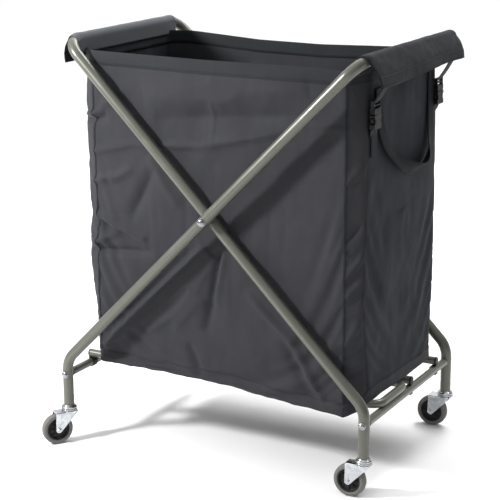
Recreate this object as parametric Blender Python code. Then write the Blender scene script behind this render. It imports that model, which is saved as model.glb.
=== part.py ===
"""Folding laundry cart: two crossed tube frames on casters that carry a fabric bag.

X runs along the wide front face, Y towards the back, Z up. The cart stands on Z = 0.
Units are metres. Every joint axis has its own empty, and the pieces that move about it hang from it.
"""

import math

import bmesh
import bpy
from mathutils import Matrix, Vector

GAP = 0.0003  # clearance between pieces that touch
ORIGIN_SHIFT_X = 0.0108  # centres the bounding box: the left casters trail outwards

# Frames
PIVOT_Z = 0.589
LEG_X = 0.381
LEG_FOOT_Z = 0.0952
BAR_X = 0.370
BAR_Z = 0.961
OUTER_FRAME_Y = 0.2677
INNER_FRAME_Y = 0.2407
TUBE_RADIUS = 0.0127
TUBE_WALL = 0.0015
LEG_BEND_RADIUS = 0.060
BAR_BEND_RADIUS = 0.045
TUBE_SIDES = 12

# Crossbars and the bag's base rails
CROSSBAR_Z = 0.1715
RAIL_RADIUS = 0.009525
RAIL_WALL = 0.0013
RAIL_BEND_RADIUS = 0.028
RAIL_INNER_Y = 0.013
RAIL_OUTER_Y = 0.166
RAIL_END_X = 0.3825
CROSSBAR_PLUG = 0.014
HOOK_WALL = 0.0018
RAIL_CAP_THICKNESS = 0.0036
RAIL_CAP_STUB = 0.010
HOOK_SWEEP = (62, 292)  # degrees round the crossbar, for a hook on the right

# Bolts
SHANK_RADIUS = 0.0036
BOLT_HOLE_RADIUS = 0.0040
HEAD_RADIUS = 0.0078
HEAD_HEIGHT = 0.0050
NUT_HEIGHT = 0.0058
NUT_RADIUS = 0.0072
SPACER_RADIUS = 0.0095

# Casters
WHEEL_RADIUS = 0.0375
TYRE_INNER_RADIUS = 0.0275
TYRE_HALF_WIDTH = 0.0100
HUB_HALF_WIDTH = 0.0116
CASTER_TRAIL = 0.032
AXLE_RADIUS = 0.0040
AXLE_HEAD_RADIUS = 0.0066
AXLE_HEAD_HEIGHT = 0.0034
HUB_BOSS_RADIUS = 0.0085
HUB_WEB_HALF = 0.0045
HUB_RIM_HALF = 0.0088
FORK_PLATE = 0.0022
FORK_FRONT_X = -0.0165
FORK_BACK_X = 0.0375
FORK_LIP = 0.0012  # how far a cheek reaches up into the crown
BOSS_RADIUS = 0.0075
FORK_INNER_Y = 0.0123
CROWN_BOTTOM_Z = 0.0785
CROWN_TOP_Z = 0.0810
CROWN_RADIUS = 0.0188
KINGPIN_RADIUS = 0.0048
KINGPIN_HEAD_RADIUS = 0.0078
CUP_RADIUS = 0.0190
CUP_TOP_Z = 0.0947
BUSH_LENGTH = 0.030

# Bag
BAG_HALF_X = 0.3565
BAG_HALF_Y = 0.2195
BAG_CORNER = 0.038
PANEL = 0.0050
FRONT_BOTTOM_Z = 0.1970
FRONT_TOP_Z = 0.9370
SIDE_BOTTOM_Z = 0.2035
SIDE_TOP_Z = 0.9380
FLOOR_Z = 0.2040
FLOOR_THICKNESS = 0.0030
FLAP_THICKNESS = 0.0025
FLAP_EDGE_X = 0.4055
FLAP_EDGE_Z = 0.911
FLAP_LEAN = 22  # degrees above level where the flap leaves the bar

# Webbing and buckles
SIDE_WORD = {-1: "left", 1: "right"}
WEBBING_WIDTH = 0.028
WEBBING = 0.0018
BUCKLE_Y = {"left": 0.1280, "right": 0.1760}
BUCKLE_WIDTH = 0.036
BUCKLE_DEPTH = 0.0120
BUCKLE_RIM = 0.004
BUCKLE_SKIN = 0.0025
BUCKLE_X = 0.3615
SOCKET_BOTTOM_Z = 0.8120
SOCKET_TOP_Z = 0.8420
PLUG_TOP_Z = 0.8725
HANDLE_X = 0.3600
HANDLE_TOP_Z = 0.893
HANDLE_THICKNESS = 0.0025
HANDLE_SPREAD = {"left": 0.62, "right": 1.0}  # width of each loop beside the right one
SEWN_LENGTH = 0.062  # webbing sewn to the side below a buckle


# ---------------------------------------------------------------- materials


def material(name, colour, roughness, metallic=0.0):
    made = bpy.data.materials.new(name)
    made.use_nodes = True
    shader = made.node_tree.nodes["Principled BSDF"]
    shader.inputs["Base Color"].default_value = (*colour, 1.0)
    shader.inputs["Roughness"].default_value = roughness
    shader.inputs["Metallic"].default_value = metallic
    return made


# ---------------------------------------------------------------- objects


def joint_empty(name, place, parent=None):
    """An empty on a joint's axis, at a place in the cart's own frame."""
    empty = bpy.data.objects.new(name, None)
    empty.empty_display_size = 0.04
    bpy.context.collection.objects.link(empty)
    empty.parent = parent
    empty.location = Vector(place) - cart_place(parent)
    return empty


def cart_place(empty):
    """Where an unturned empty stands in the cart's own frame."""
    place = Vector((0, 0, 0))
    while empty is not None and empty.name != "cart":
        place += empty.location
        empty = empty.parent
    return place


def link(name, mesh, parent):
    made = bpy.data.objects.new(name, mesh)
    bpy.context.collection.objects.link(made)
    made.parent = parent
    return made


def finish_mesh(name, shape, surface):
    """A mesh from a bmesh, faces outwards, round parts shaded smooth."""
    bmesh.ops.recalc_face_normals(shape, faces=shape.faces[:])
    mesh = bpy.data.meshes.new(name)
    shape.to_mesh(mesh)
    shape.free()
    if surface is not None:
        mesh.materials.append(surface)
    mesh.shade_smooth()
    mesh.set_sharp_from_angle(angle=math.radians(35))
    return mesh


def add(name, shape, surface, parent):
    """A piece drawn in the cart's own frame, with its origin on its parent's axis."""
    bmesh.ops.translate(shape, verts=shape.verts, vec=-cart_place(parent))
    return link(name, finish_mesh(name, shape, surface), parent)


def boolean(piece, body, operation):
    """Hides a body and lets a Boolean cut it from a piece or join it on."""
    body.hide_render = True
    body.display_type = "WIRE"
    change = piece.modifiers.new(body.name, "BOOLEAN")
    change.operation = operation
    change.object = body


def tool(name, shape, piece, operation):
    """A Boolean's body, drawn in the cart's own frame."""
    bmesh.ops.translate(shape, verts=shape.verts, vec=-cart_place(piece.parent))
    boolean(piece, link(name, finish_mesh(name, shape, None), piece.parent), operation)


# ---------------------------------------------------------------- shapes


def rounded_path(corners, radii, steps):
    """The corner points with every inner corner turned into an arc."""
    path = [Vector(corners[0])]
    for before, corner, after, radius in zip(corners, corners[1:], corners[2:], radii):
        before, corner, after = Vector(before), Vector(corner), Vector(after)
        come = (before - corner).normalized()
        go = (after - corner).normalized()
        half = come.angle(go) / 2
        reach = radius / math.tan(half)
        middle = corner + (come + go).normalized() * (radius / math.sin(half))
        first = corner + come * reach - middle
        last = corner + go * reach - middle
        turn = first.angle(last)
        for i in range(steps + 1):
            share = i / steps
            swing = (
                first * math.sin((1 - share) * turn) + last * math.sin(share * turn)
            ) / math.sin(turn)
            path.append(middle + swing)
    path.append(Vector(corners[-1]))
    return path


def hollow_tube(path, radius, wall, sides=TUBE_SIDES):
    """A tube with a bore along a path, open at both ends."""
    shape = bmesh.new()
    tangents = []
    for i, point in enumerate(path):
        ahead = path[min(i + 1, len(path) - 1)]
        behind = path[max(i - 1, 0)]
        tangents.append((ahead - behind).normalized())
    across = tangents[0].orthogonal().normalized()
    outer, inner = [], []
    for i, (point, tangent) in enumerate(zip(path, tangents)):
        if i:
            across = tangents[i - 1].rotation_difference(tangent) @ across
        across = (across - tangent * across.dot(tangent)).normalized()
        other = tangent.cross(across)
        for rings, size in ((outer, radius), (inner, radius - wall)):
            ring = []
            for k in range(sides):
                angle = 2 * math.pi * (k + 0.5) / sides
                spoke = across * math.cos(angle) + other * math.sin(angle)
                ring.append(shape.verts.new(point + spoke * size))
            rings.append(ring)
    for k in range(sides):
        n = (k + 1) % sides
        for rings in (outer, inner):
            for a, b in zip(rings, rings[1:]):
                shape.faces.new((a[k], a[n], b[n], b[k]))
        for end in (0, -1):
            shape.faces.new((outer[end][k], outer[end][n], inner[end][n], inner[end][k]))
    return shape


def turned(profile, sides, axis="Z", centre=(0, 0, 0)):
    """A closed profile of (radius, height) points turned about an axis."""
    shape = bmesh.new()
    rings = []
    for radius, height in profile:
        if radius < 1e-6:
            rings.append([shape.verts.new((0, 0, height))] * sides)
            continue
        ring = []
        for k in range(sides):
            angle = 2 * math.pi * (k + 0.5) / sides
            ring.append(
                shape.verts.new((radius * math.cos(angle), radius * math.sin(angle), height))
            )
        rings.append(ring)
    closed = profile[0][0] > 1e-6
    pairs = list(zip(rings, rings[1:])) + ([(rings[-1], rings[0])] if closed else [])
    for a, b in pairs:
        for k in range(sides):
            n = (k + 1) % sides
            corners = list(dict.fromkeys((a[k], a[n], b[n], b[k])))
            if len(corners) > 2:
                shape.faces.new(corners)
    turn = {
        "Z": Matrix.Identity(4),
        "Y": Matrix.Rotation(-math.pi / 2, 4, "X"),
        "X": Matrix.Rotation(math.pi / 2, 4, "Y"),
    }[axis]
    bmesh.ops.transform(shape, matrix=Matrix.Translation(centre) @ turn, verts=shape.verts)
    return shape


def prism(outline, low, high, axis="Y"):
    """An outline pushed along an axis. It lies in XZ for axis Y, XY for Z, and YZ for X."""
    shape = bmesh.new()

    def corner(a, b, c):
        return {"Y": (a, c, b), "Z": (a, b, c), "X": (c, a, b)}[axis]

    rows = [[shape.verts.new(corner(a, b, c)) for a, b in outline] for c in (low, high)]
    shape.faces.new(rows[0])
    shape.faces.new(rows[1])
    for k in range(len(outline)):
        n = (k + 1) % len(outline)
        shape.faces.new((rows[0][k], rows[0][n], rows[1][n], rows[1][k]))
    return shape


def block(x, y, z):
    """A box between low and high values on each axis."""
    return prism(((x[0], z[0]), (x[1], z[0]), (x[1], z[1]), (x[0], z[1])), *y)


def arc(centre, radius, start, end, steps):
    """Points on an arc, in degrees."""
    for i in range(steps + 1):
        angle = math.radians(start + (end - start) * i / steps)
        yield (centre[0] + radius * math.cos(angle), centre[1] + radius * math.sin(angle))


def ribbon(line, thickness):
    """The outline of a strip with a given thickness that follows a line of 2-D points."""
    line = [Vector(p) for p in line]
    runs = [(b - a).normalized() for a, b in zip(line, line[1:])]
    left, right = [], []
    for point, before, after in zip(line, runs[:1] + runs, runs + runs[-1:]):
        along = (before + after).normalized()
        side = Vector((-along.y, along.x)) * (thickness / 2 / along.dot(before))
        left.append(tuple(point + side))
        right.append(tuple(point - side))
    return left + right[::-1]


def rod(radius, low, high):
    """The profile of a plain solid rod."""
    return ((0, low), (radius, low), (radius, high), (0, high))


def collar(bore, radius, low, high):
    """The profile of a ring with a bore."""
    return ((bore, low), (radius, low), (radius, high), (bore, high))


def bolt_profile(length):
    """A dome head above height 0 and a shank below it."""
    return (
        (0, -length),
        (SHANK_RADIUS, -length),
        (SHANK_RADIUS, 0),
        (HEAD_RADIUS, 0),
        (HEAD_RADIUS, HEAD_HEIGHT * 0.4),
        (HEAD_RADIUS * 0.72, HEAD_HEIGHT * 0.85),
        (0, HEAD_HEIGHT),
    )


def facing(shape, side, at):
    """Turns a piece drawn along +Z so that it points along Y on the given side, and places it."""
    turn = Matrix.Rotation(math.pi / 2 * -side, 4, "X")
    bmesh.ops.transform(shape, matrix=Matrix.Translation(at) @ turn, verts=shape.verts)
    return shape


# ---------------------------------------------------------------- frames


def frame_tube(name, side, half_depth, surface, parent):
    """One bent frame. Its legs stand on the given side, and its top bar is on the other side."""
    slope = (BAR_Z - PIVOT_Z) / BAR_X
    knee_z = PIVOT_Z - LEG_X * slope
    half = [
        (side * LEG_X, -half_depth, LEG_FOOT_Z),
        (side * LEG_X, -half_depth, knee_z),
        (-side * BAR_X, -half_depth, BAR_Z),
    ]
    corners = half + [(x, -y, z) for x, y, z in half[::-1]]
    radii = (LEG_BEND_RADIUS, BAR_BEND_RADIUS, BAR_BEND_RADIUS, LEG_BEND_RADIUS)
    path = rounded_path(corners, radii, 6)
    tube = add(name, hollow_tube(path, TUBE_RADIUS, TUBE_WALL), surface, parent)
    reach = OUTER_FRAME_Y + TUBE_RADIUS * 2
    for hole, x, z in (("pivot", 0, PIVOT_Z), ("crossbar", side * LEG_X, CROSSBAR_Z)):
        drill = turned(rod(BOLT_HOLE_RADIUS, -reach, reach), 12, "Y", (x, 0, z))
        tool(f"{name}_{hole}_drill", drill, tube, "DIFFERENCE")
    return tube


def crossbar(name, side, half_depth, surface, parent):
    """A straight tube between a frame's legs, with a threaded plug in each end."""
    end = half_depth - TUBE_RADIUS - GAP
    inner = RAIL_RADIUS - RAIL_WALL
    bore = SHANK_RADIUS + GAP
    profile = (
        (bore, -end),
        (RAIL_RADIUS, -end),
        (RAIL_RADIUS, end),
        (bore, end),
        (bore, end - CROSSBAR_PLUG),
        (inner, end - CROSSBAR_PLUG),
        (inner, CROSSBAR_PLUG - end),
        (bore, CROSSBAR_PLUG - end),
    )
    return add(name, turned(profile, TUBE_SIDES, "Y", (side * LEG_X, 0, CROSSBAR_Z)), surface, parent)


def crossbar_bolts(prefix, side, half_depth, surface, parent):
    seat = half_depth + TUBE_RADIUS + GAP
    for word, way in (("front", -1), ("back", 1)):
        bolt = turned(bolt_profile(2 * TUBE_RADIUS + 0.8 * CROSSBAR_PLUG), 12)
        facing(bolt, way, (side * LEG_X, way * seat, CROSSBAR_Z))
        add(f"{prefix}_crossbar_bolt_{word}", bolt, surface, parent)


def pivot_hardware(steel, nylon, parent):
    """Bolt, washer and nut where the frames cross, at the front and at the back."""
    seat = OUTER_FRAME_Y + TUBE_RADIUS + GAP
    nut_top = INNER_FRAME_Y - TUBE_RADIUS - GAP
    length = seat - nut_top + NUT_HEIGHT
    washer_middle = (OUTER_FRAME_Y + INNER_FRAME_Y) / 2
    half_washer = (OUTER_FRAME_Y - INNER_FRAME_Y) / 2 - TUBE_RADIUS - GAP
    bore = SHANK_RADIUS + GAP
    for word, way in (("front", -1), ("back", 1)):
        at = (0, way * seat, PIVOT_Z)
        add(f"pivot_bolt_{word}", facing(turned(bolt_profile(length), 12), way, at), steel, parent)
        ring = turned(collar(bore, SPACER_RADIUS, -half_washer, half_washer), 12)
        at = (0, way * washer_middle, PIVOT_Z)
        add(f"pivot_washer_{word}", facing(ring, way, at), nylon, parent)
        nut_bore = bore / math.cos(math.pi / 6)  # its six flats clear the shank
        nut = turned(collar(nut_bore, NUT_RADIUS, -NUT_HEIGHT, 0), 6)
        at = (0, way * nut_top, PIVOT_Z)
        add(f"pivot_nut_{word}", facing(nut, way, at), steel, parent)


# ---------------------------------------------------------------- base rails


def base_rail(name, side, surface, parent):
    """A U-shaped rail. Its open ends are clipped on the crossbar of the given side."""
    clip_z = CROSSBAR_Z + RAIL_RADIUS + GAP + HOOK_WALL + GAP + RAIL_RADIUS
    rest_z = CROSSBAR_Z + 2 * RAIL_RADIUS + GAP
    depths = (side * RAIL_OUTER_Y, side * RAIL_INNER_Y)
    corners = [
        (side * RAIL_END_X, depths[0], clip_z),
        (-side * LEG_X, depths[0], rest_z),
        (-side * LEG_X, depths[1], rest_z),
        (side * RAIL_END_X, depths[1], clip_z),
    ]
    path = rounded_path(corners, (RAIL_BEND_RADIUS, RAIL_BEND_RADIUS), 5)
    add(name, hollow_tube(path, RAIL_RADIUS, RAIL_WALL, 10), surface, parent)


def base_clip(name, side, depth, surface, parent):
    """A nylon cap in a rail's end with a hook that turns on the crossbar."""
    inner = RAIL_RADIUS + GAP
    outer = inner + HOOK_WALL
    centre = (side * LEG_X, CROSSBAR_Z)
    start, end = HOOK_SWEEP if side > 0 else (180 - HOOK_SWEEP[0], 180 - HOOK_SWEEP[1])
    outline = list(arc(centre, outer, start, end, 12)) + list(arc(centre, inner, end, start, 12))
    half = WEBBING_WIDTH / 4
    clip = add(name, prism(outline, depth - half, depth + half), surface, parent)
    clip_z = CROSSBAR_Z + outer + GAP + RAIL_RADIUS
    stub = (RAIL_RADIUS - RAIL_WALL) * 0.93 - GAP
    face = RAIL_END_X + GAP
    cap_profile = (
        (0, face - RAIL_CAP_STUB),
        (stub, face - RAIL_CAP_STUB),
        (stub, face),
        (RAIL_RADIUS, face),
        (RAIL_RADIUS, face + RAIL_CAP_THICKNESS),
        (0, face + RAIL_CAP_THICKNESS),
    )
    cap = turned([(r, side * h) for r, h in cap_profile], 10, "X", (0, depth, clip_z))
    tool(f"{name}_cap", cap, clip, "UNION")
    web_x = sorted((side * face, side * (face + RAIL_CAP_THICKNESS)))
    web_y = (depth - half * 0.9, depth + half * 0.9)
    web_z = (CROSSBAR_Z + inner + HOOK_WALL / 3, clip_z - RAIL_RADIUS * 0.42)
    tool(f"{name}_web", block(web_x, web_y, web_z), clip, "UNION")


# ---------------------------------------------------------------- casters


def caster_stem_mesh(surface):
    """Bearing cup under the leg, bush inside the leg, and kingpin down through the fork."""
    bush = TUBE_RADIUS - TUBE_WALL - GAP * 1.3
    head_top = CROWN_BOTTOM_Z - GAP * 2
    race = CROWN_TOP_Z + GAP * 1.6
    tall = CUP_TOP_Z - CROWN_TOP_Z
    profile = (
        (0, head_top - 0.0018),
        (KINGPIN_HEAD_RADIUS, head_top - 0.0018),
        (KINGPIN_HEAD_RADIUS, head_top),
        (KINGPIN_RADIUS, head_top),
        (KINGPIN_RADIUS, race),
        (CUP_RADIUS * 0.905, race),
        (CUP_RADIUS, CROWN_TOP_Z + tall * 0.29),
        (CUP_RADIUS * 0.947, CROWN_TOP_Z + tall * 0.64),
        (CUP_RADIUS * 0.737, CUP_TOP_Z),
        (bush, CUP_TOP_Z),
        (bush, CUP_TOP_Z + BUSH_LENGTH),
        (0, CUP_TOP_Z + BUSH_LENGTH),
    )
    return finish_mesh("caster_stem", turned(profile, 14), surface)


def caster_fork(name, surface, parent):
    """A pressed fork: a crown plate with a cheek down each side of the wheel. It trails along +X."""
    half_width = FORK_INNER_Y + FORK_PLATE
    crown_half = FORK_INNER_Y + FORK_PLATE / 2
    crown_outline = list(arc((0, 0), CROWN_RADIUS, 48, 312, 14))
    crown_back = FORK_BACK_X + GAP * 1.6
    crown_outline += [(crown_back, -crown_half), (crown_back, crown_half)]
    crown = prism(crown_outline, CROWN_BOTTOM_Z, CROWN_TOP_Z, "Z")
    fork = link(name, finish_mesh(name, crown, surface), parent)
    cheek_top = CROWN_BOTTOM_Z + FORK_LIP
    outline = [(FORK_FRONT_X, cheek_top), (FORK_FRONT_X, cheek_top - 3.5 * FORK_LIP)]
    outline += list(arc((CASTER_TRAIL, WHEEL_RADIUS), BOSS_RADIUS, 222, 352, 6))
    outline += [(FORK_BACK_X, cheek_top)]
    for word, way in (("left", 1), ("right", -1)):
        low, high = sorted((way * FORK_INNER_Y, way * half_width))
        cheek = finish_mesh(name, prism(outline, low, high), None)
        boolean(fork, link(f"{name}_{word}_cheek", cheek, parent), "UNION")
    hole = rod(KINGPIN_RADIUS + GAP, CROWN_BOTTOM_Z - BOSS_RADIUS, CROWN_TOP_Z + BOSS_RADIUS)
    pin = finish_mesh(name, turned(hole, 14), None)
    boolean(fork, link(f"{name}_kingpin_hole", pin, parent), "DIFFERENCE")
    hole = rod(AXLE_RADIUS + GAP, -2 * half_width, 2 * half_width)
    bore = turned(hole, 10, "Y", (CASTER_TRAIL, 0, WHEEL_RADIUS))
    boolean(fork, link(f"{name}_axle_hole", finish_mesh(name, bore, None), parent), "DIFFERENCE")


def axle_mesh(surface):
    half = FORK_INNER_Y + FORK_PLATE + GAP
    profile = (
        (0, -half - AXLE_HEAD_HEIGHT),
        (AXLE_HEAD_RADIUS * 0.94, -half - AXLE_HEAD_HEIGHT),
        (AXLE_HEAD_RADIUS, -half),
        (AXLE_RADIUS, -half),
        (AXLE_RADIUS, half),
        (AXLE_HEAD_RADIUS, half),
        (AXLE_HEAD_RADIUS * 0.83, half + AXLE_HEAD_HEIGHT * 0.8),
        (0, half + AXLE_HEAD_HEIGHT),
    )
    return finish_mesh("axle", turned(profile, 10, "Y"), surface)


def hub_mesh(surface):
    rim = TYRE_INNER_RADIUS - GAP
    bore = AXLE_RADIUS + GAP
    side = (
        (bore, HUB_HALF_WIDTH),
        (HUB_BOSS_RADIUS, HUB_HALF_WIDTH),
        (HUB_BOSS_RADIUS * 1.18, HUB_WEB_HALF),
        (rim * 0.79, HUB_WEB_HALF),
        (rim * 0.865, HUB_RIM_HALF),
        (rim, HUB_RIM_HALF),
    )
    profile = side + tuple((r, -h) for r, h in side[::-1])
    return finish_mesh("hub", turned(profile, 18, "Y"), surface)


def tyre_mesh(surface):
    half = TYRE_HALF_WIDTH
    profile = (
        (TYRE_INNER_RADIUS, -half * 0.94),
        (WHEEL_RADIUS * 0.92, -half),
        (WHEEL_RADIUS * 0.984, -half * 0.6),
        (WHEEL_RADIUS, 0),
        (WHEEL_RADIUS * 0.984, half * 0.6),
        (WHEEL_RADIUS * 0.92, half),
        (TYRE_INNER_RADIUS, half * 0.94),
    )
    return finish_mesh("tyre", turned(profile, 24, "Y"), surface)


def caster(name, place, trail_angle, meshes, fork_surface, frame_joint):
    """One caster under a leg. trail_angle is where the wheel trails to, in degrees from +X."""
    stem = link(f"{name}_stem", meshes["stem"], frame_joint)
    stem.location = Vector((*place, 0)) - cart_place(frame_joint)
    swivel = joint_empty(f"{name}_swivel_axis", (*place, 0), frame_joint)
    swivel.rotation_euler.z = math.radians(trail_angle)
    caster_fork(f"{name}_fork", fork_surface, swivel)
    spin = joint_empty(f"{name}_spin_axis", (0, 0, 0))
    spin.parent = swivel
    spin.location = (CASTER_TRAIL, 0, WHEEL_RADIUS)
    axle = link(f"{name}_axle", meshes["axle"], swivel)
    axle.location = spin.location
    link(f"{name}_hub", meshes["hub"], spin)
    link(f"{name}_tyre", meshes["tyre"], spin)


# ---------------------------------------------------------------- bag


def bag_face(name, way, surface, parent):
    """The front or back panel, with the cut corners that lead round to the sides."""
    corner = [
        (PANEL / 2 - BAG_HALF_X, BAG_HALF_Y - BAG_CORNER),
        (BAG_CORNER - BAG_HALF_X, BAG_HALF_Y - PANEL / 2),
    ]
    line = corner + [(-x, y) for x, y in corner[::-1]]
    outline = ribbon([(x, way * y) for x, y in line], PANEL)
    add(name, prism(outline, FRONT_BOTTOM_Z, FRONT_TOP_Z, "Z"), surface, parent)


def bag_side(name, side, surface, parent):
    """A side panel with the short webbing sewn on below each buckle."""
    half = BAG_HALF_Y - BAG_CORNER - PANEL / 2
    x = sorted((side * BAG_HALF_X, side * (BAG_HALF_X - PANEL)))
    panel = add(name, block(x, (-half, half), (SIDE_BOTTOM_Z, SIDE_TOP_Z)), surface, parent)
    middle = min(BUCKLE_Y[SIDE_WORD[side]], half - GAP - WEBBING_WIDTH / 2)
    for word, way in (("front", -1), ("back", 1)):
        y = (way * middle - WEBBING_WIDTH / 2, way * middle + WEBBING_WIDTH / 2)
        x = sorted((side * (BAG_HALF_X - PANEL / 2), side * (BAG_HALF_X + WEBBING)))
        webbing = block(x, y, (SOCKET_BOTTOM_Z - SEWN_LENGTH, SOCKET_BOTTOM_Z + BUCKLE_RIM))
        tool(f"{name}_{word}_webbing", webbing, panel, "UNION")


def flap(name, side, half_length, surface, parent):
    """The panel over a top bar, hanging outside it, with a strap down to each buckle."""
    radius = TUBE_RADIUS + GAP + FLAP_THICKNESS / 2
    line = [(BAR_X - radius, SIDE_TOP_Z + GAP)]
    line += list(arc((BAR_X, BAR_Z), radius, 180, FLAP_LEAN, 10))
    line += [(FLAP_EDGE_X - FLAP_THICKNESS / 2, FLAP_EDGE_Z)]
    outline = ribbon([(side * x, z) for x, z in line], FLAP_THICKNESS)
    sheet = add(name, prism(outline, -half_length, half_length), surface, parent)
    sewn_on = (FLAP_EDGE_X - FLAP_THICKNESS - WEBBING, FLAP_EDGE_Z + 0.006)
    strap_line = [sewn_on, (BUCKLE_X + BUCKLE_DEPTH * 2 / 3, PLUG_TOP_Z + WEBBING)]
    outline = ribbon([(side * x, z) for x, z in strap_line], WEBBING)
    for word, way in (("front", -1), ("back", 1)):
        middle = way * BUCKLE_Y[SIDE_WORD[side]]
        y = (middle - WEBBING_WIDTH / 2, middle + WEBBING_WIDTH / 2)
        tool(f"{name}_{word}_strap", prism(outline, *y), sheet, "UNION")


def buckle(prefix, side, way, surface, parent):
    """A side-release buckle: a socket below and a plug whose tongue sits inside it."""

    middle = way * BUCKLE_Y[SIDE_WORD[side]]

    def part_block(depth, width, z):
        x = sorted((side * (BUCKLE_X + depth[0]), side * (BUCKLE_X + depth[1])))
        return block(x, (middle - width / 2, middle + width / 2), z)

    whole = (0, BUCKLE_DEPTH)
    inside = (BUCKLE_SKIN, BUCKLE_DEPTH - BUCKLE_SKIN)
    through = (-BUCKLE_DEPTH, 2 * BUCKLE_DEPTH)
    slot_width = BUCKLE_WIDTH - 2 * BUCKLE_RIM
    pocket_z = SOCKET_BOTTOM_Z + 0.009
    socket = part_block(whole, BUCKLE_WIDTH, (SOCKET_BOTTOM_Z, SOCKET_TOP_Z))
    socket = add(f"{prefix}_buckle_socket", socket, surface, parent)
    pocket = part_block(inside, slot_width, (pocket_z, SOCKET_TOP_Z + BUCKLE_DEPTH))
    tool(f"{prefix}_pocket", pocket, socket, "DIFFERENCE")
    eye_z = (SOCKET_BOTTOM_Z + BUCKLE_SKIN, SOCKET_BOTTOM_Z + BUCKLE_SKIN + BUCKLE_RIM)
    tool(f"{prefix}_socket_eye", part_block(through, slot_width, eye_z), socket, "DIFFERENCE")
    plug = part_block(whole, BUCKLE_WIDTH - BUCKLE_RIM / 2, (SOCKET_TOP_Z + GAP, PLUG_TOP_Z))
    plug = add(f"{prefix}_buckle_plug", plug, surface, parent)
    slack = 2 * GAP
    tongue_x = (BUCKLE_SKIN + slack, BUCKLE_DEPTH - BUCKLE_SKIN - slack)
    tongue_z = (pocket_z + 0.003, SOCKET_TOP_Z + BUCKLE_RIM)
    tongue = part_block(tongue_x, slot_width - 2 * slack, tongue_z)
    tool(f"{prefix}_tongue", tongue, plug, "UNION")
    eye_z = (PLUG_TOP_Z - 0.0140, PLUG_TOP_Z - 0.0085)
    tool(f"{prefix}_plug_eye", part_block(through, slot_width, eye_z), plug, "DIFFERENCE")


def handle(name, side, surface, parent):
    """A carry loop of webbing that hangs against the side panel."""
    line = [
        (-0.141, 0.893),
        (-0.139, 0.845),
        (-0.128, 0.790),
        (-0.100, 0.738),
        (-0.055, 0.704),
        (0.000, 0.690),
        (0.055, 0.692),
        (0.105, 0.714),
        (0.132, 0.756),
        (0.140, 0.815),
        (0.141, 0.893),
    ]
    line = [(y * HANDLE_SPREAD[SIDE_WORD[side]], z) for y, z in line]
    x = sorted((side * HANDLE_X, side * (HANDLE_X + HANDLE_THICKNESS)))
    add(name, prism(ribbon(line, WEBBING_WIDTH), *x, "X"), surface, parent)


# ---------------------------------------------------------------- the cart


def main():
    for old in list(bpy.data.objects):
        bpy.data.objects.remove(old, do_unlink=True)
    paint = material("satin_grey_paint", (0.42, 0.42, 0.38), 0.35, 0.2)
    zinc = material("bright_zinc", (0.62, 0.63, 0.64), 0.25, 1.0)
    chrome = material("chrome_steel", (0.75, 0.76, 0.78), 0.12, 1.0)
    rubber = material("grey_rubber", (0.38, 0.37, 0.36), 0.65)
    black = material("black_plastic", (0.02, 0.02, 0.022), 0.4)
    cloth = material("charcoal_polyester", (0.075, 0.077, 0.085), 0.8)
    webbing = material("charcoal_webbing", (0.05, 0.052, 0.058), 0.75)

    cart = joint_empty("cart", (0, 0, 0))
    cart.location.x = ORIGIN_SHIFT_X
    outer = joint_empty("outer_fold_axis", (0, 0, PIVOT_Z), cart)
    inner = joint_empty("inner_fold_axis", (0, 0, PIVOT_Z), cart)
    pivot_hardware(chrome, black, cart)

    meshes = {
        "stem": caster_stem_mesh(chrome),
        "axle": axle_mesh(zinc),
        "hub": hub_mesh(black),
        "tyre": tyre_mesh(rubber),
    }
    frames = (
        ("outer", "left", -1, OUTER_FRAME_Y, outer, {"front": 235, "back": 125}),
        ("inner", "right", 1, INNER_FRAME_Y, inner, {"front": 180, "back": 180}),
    )
    for frame_word, side_word, side, half_depth, joint, trails in frames:
        frame_tube(f"{frame_word}_frame_tube", side, half_depth, paint, joint)
        crossbar(f"{side_word}_crossbar", side, half_depth, paint, joint)
        crossbar_bolts(side_word, side, half_depth, chrome, joint)
        for word, way in (("front", -1), ("back", 1)):
            place = (side * LEG_X, way * half_depth)
            caster(f"caster_{word}_{side_word}", place, trails[word], meshes, zinc, joint)

    for word, side, joint in (("front", -1, outer), ("rear", 1, inner)):
        lift = joint_empty(f"{word}_base_axis", (side * LEG_X, 0, CROSSBAR_Z), joint)
        base_rail(f"{word}_base_rail", side, paint, lift)
        base_clip(f"{word}_base_clip_outer", side, side * RAIL_OUTER_Y, black, lift)
        base_clip(f"{word}_base_clip_inner", side, side * RAIL_INNER_Y, black, lift)

    bag_face("bag_front", -1, cloth, cart)
    bag_face("bag_back", 1, cloth, cart)
    half_x = BAG_HALF_X - PANEL - GAP
    half_y = BAG_HALF_Y - PANEL - GAP
    corner = [(-half_x, BAG_CORNER - half_y), (BAG_CORNER - half_x, -half_y)]
    front_half = corner + [(-x, y) for x, y in corner[::-1]]
    floor = front_half + [(x, -y) for x, y in front_half[::-1]]
    add("bag_floor", prism(floor, FLOOR_Z, FLOOR_Z + FLOOR_THICKNESS, "Z"), cloth, cart)

    sides = (
        ("left", -1, inner, INNER_FRAME_Y),
        ("right", 1, outer, OUTER_FRAME_Y),
    )
    for word, side, joint, half_depth in sides:
        hang = joint_empty(f"{word}_side_axis", (side * BAR_X, 0, BAR_Z), joint)
        bag_side(f"bag_{word}", side, cloth, hang)
        flap(f"{word}_flap", side, half_depth - BAR_BEND_RADIUS - GAP, cloth, hang)
        for place, way in (("front", -1), ("back", 1)):
            buckle(f"{word}_{place}", side, way, black, hang)
        swing = joint_empty(f"{word}_handle_axis", (side * HANDLE_X, 0, HANDLE_TOP_Z), hang)
        handle(f"{word}_handle", side, webbing, swing)


main()
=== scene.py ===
"""Folding laundry cart: two crossed tube frames on casters with a sewn fabric bag."""

import math

import bmesh
import bpy
import numpy as np
from mathutils import Matrix, Vector, noise


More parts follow.
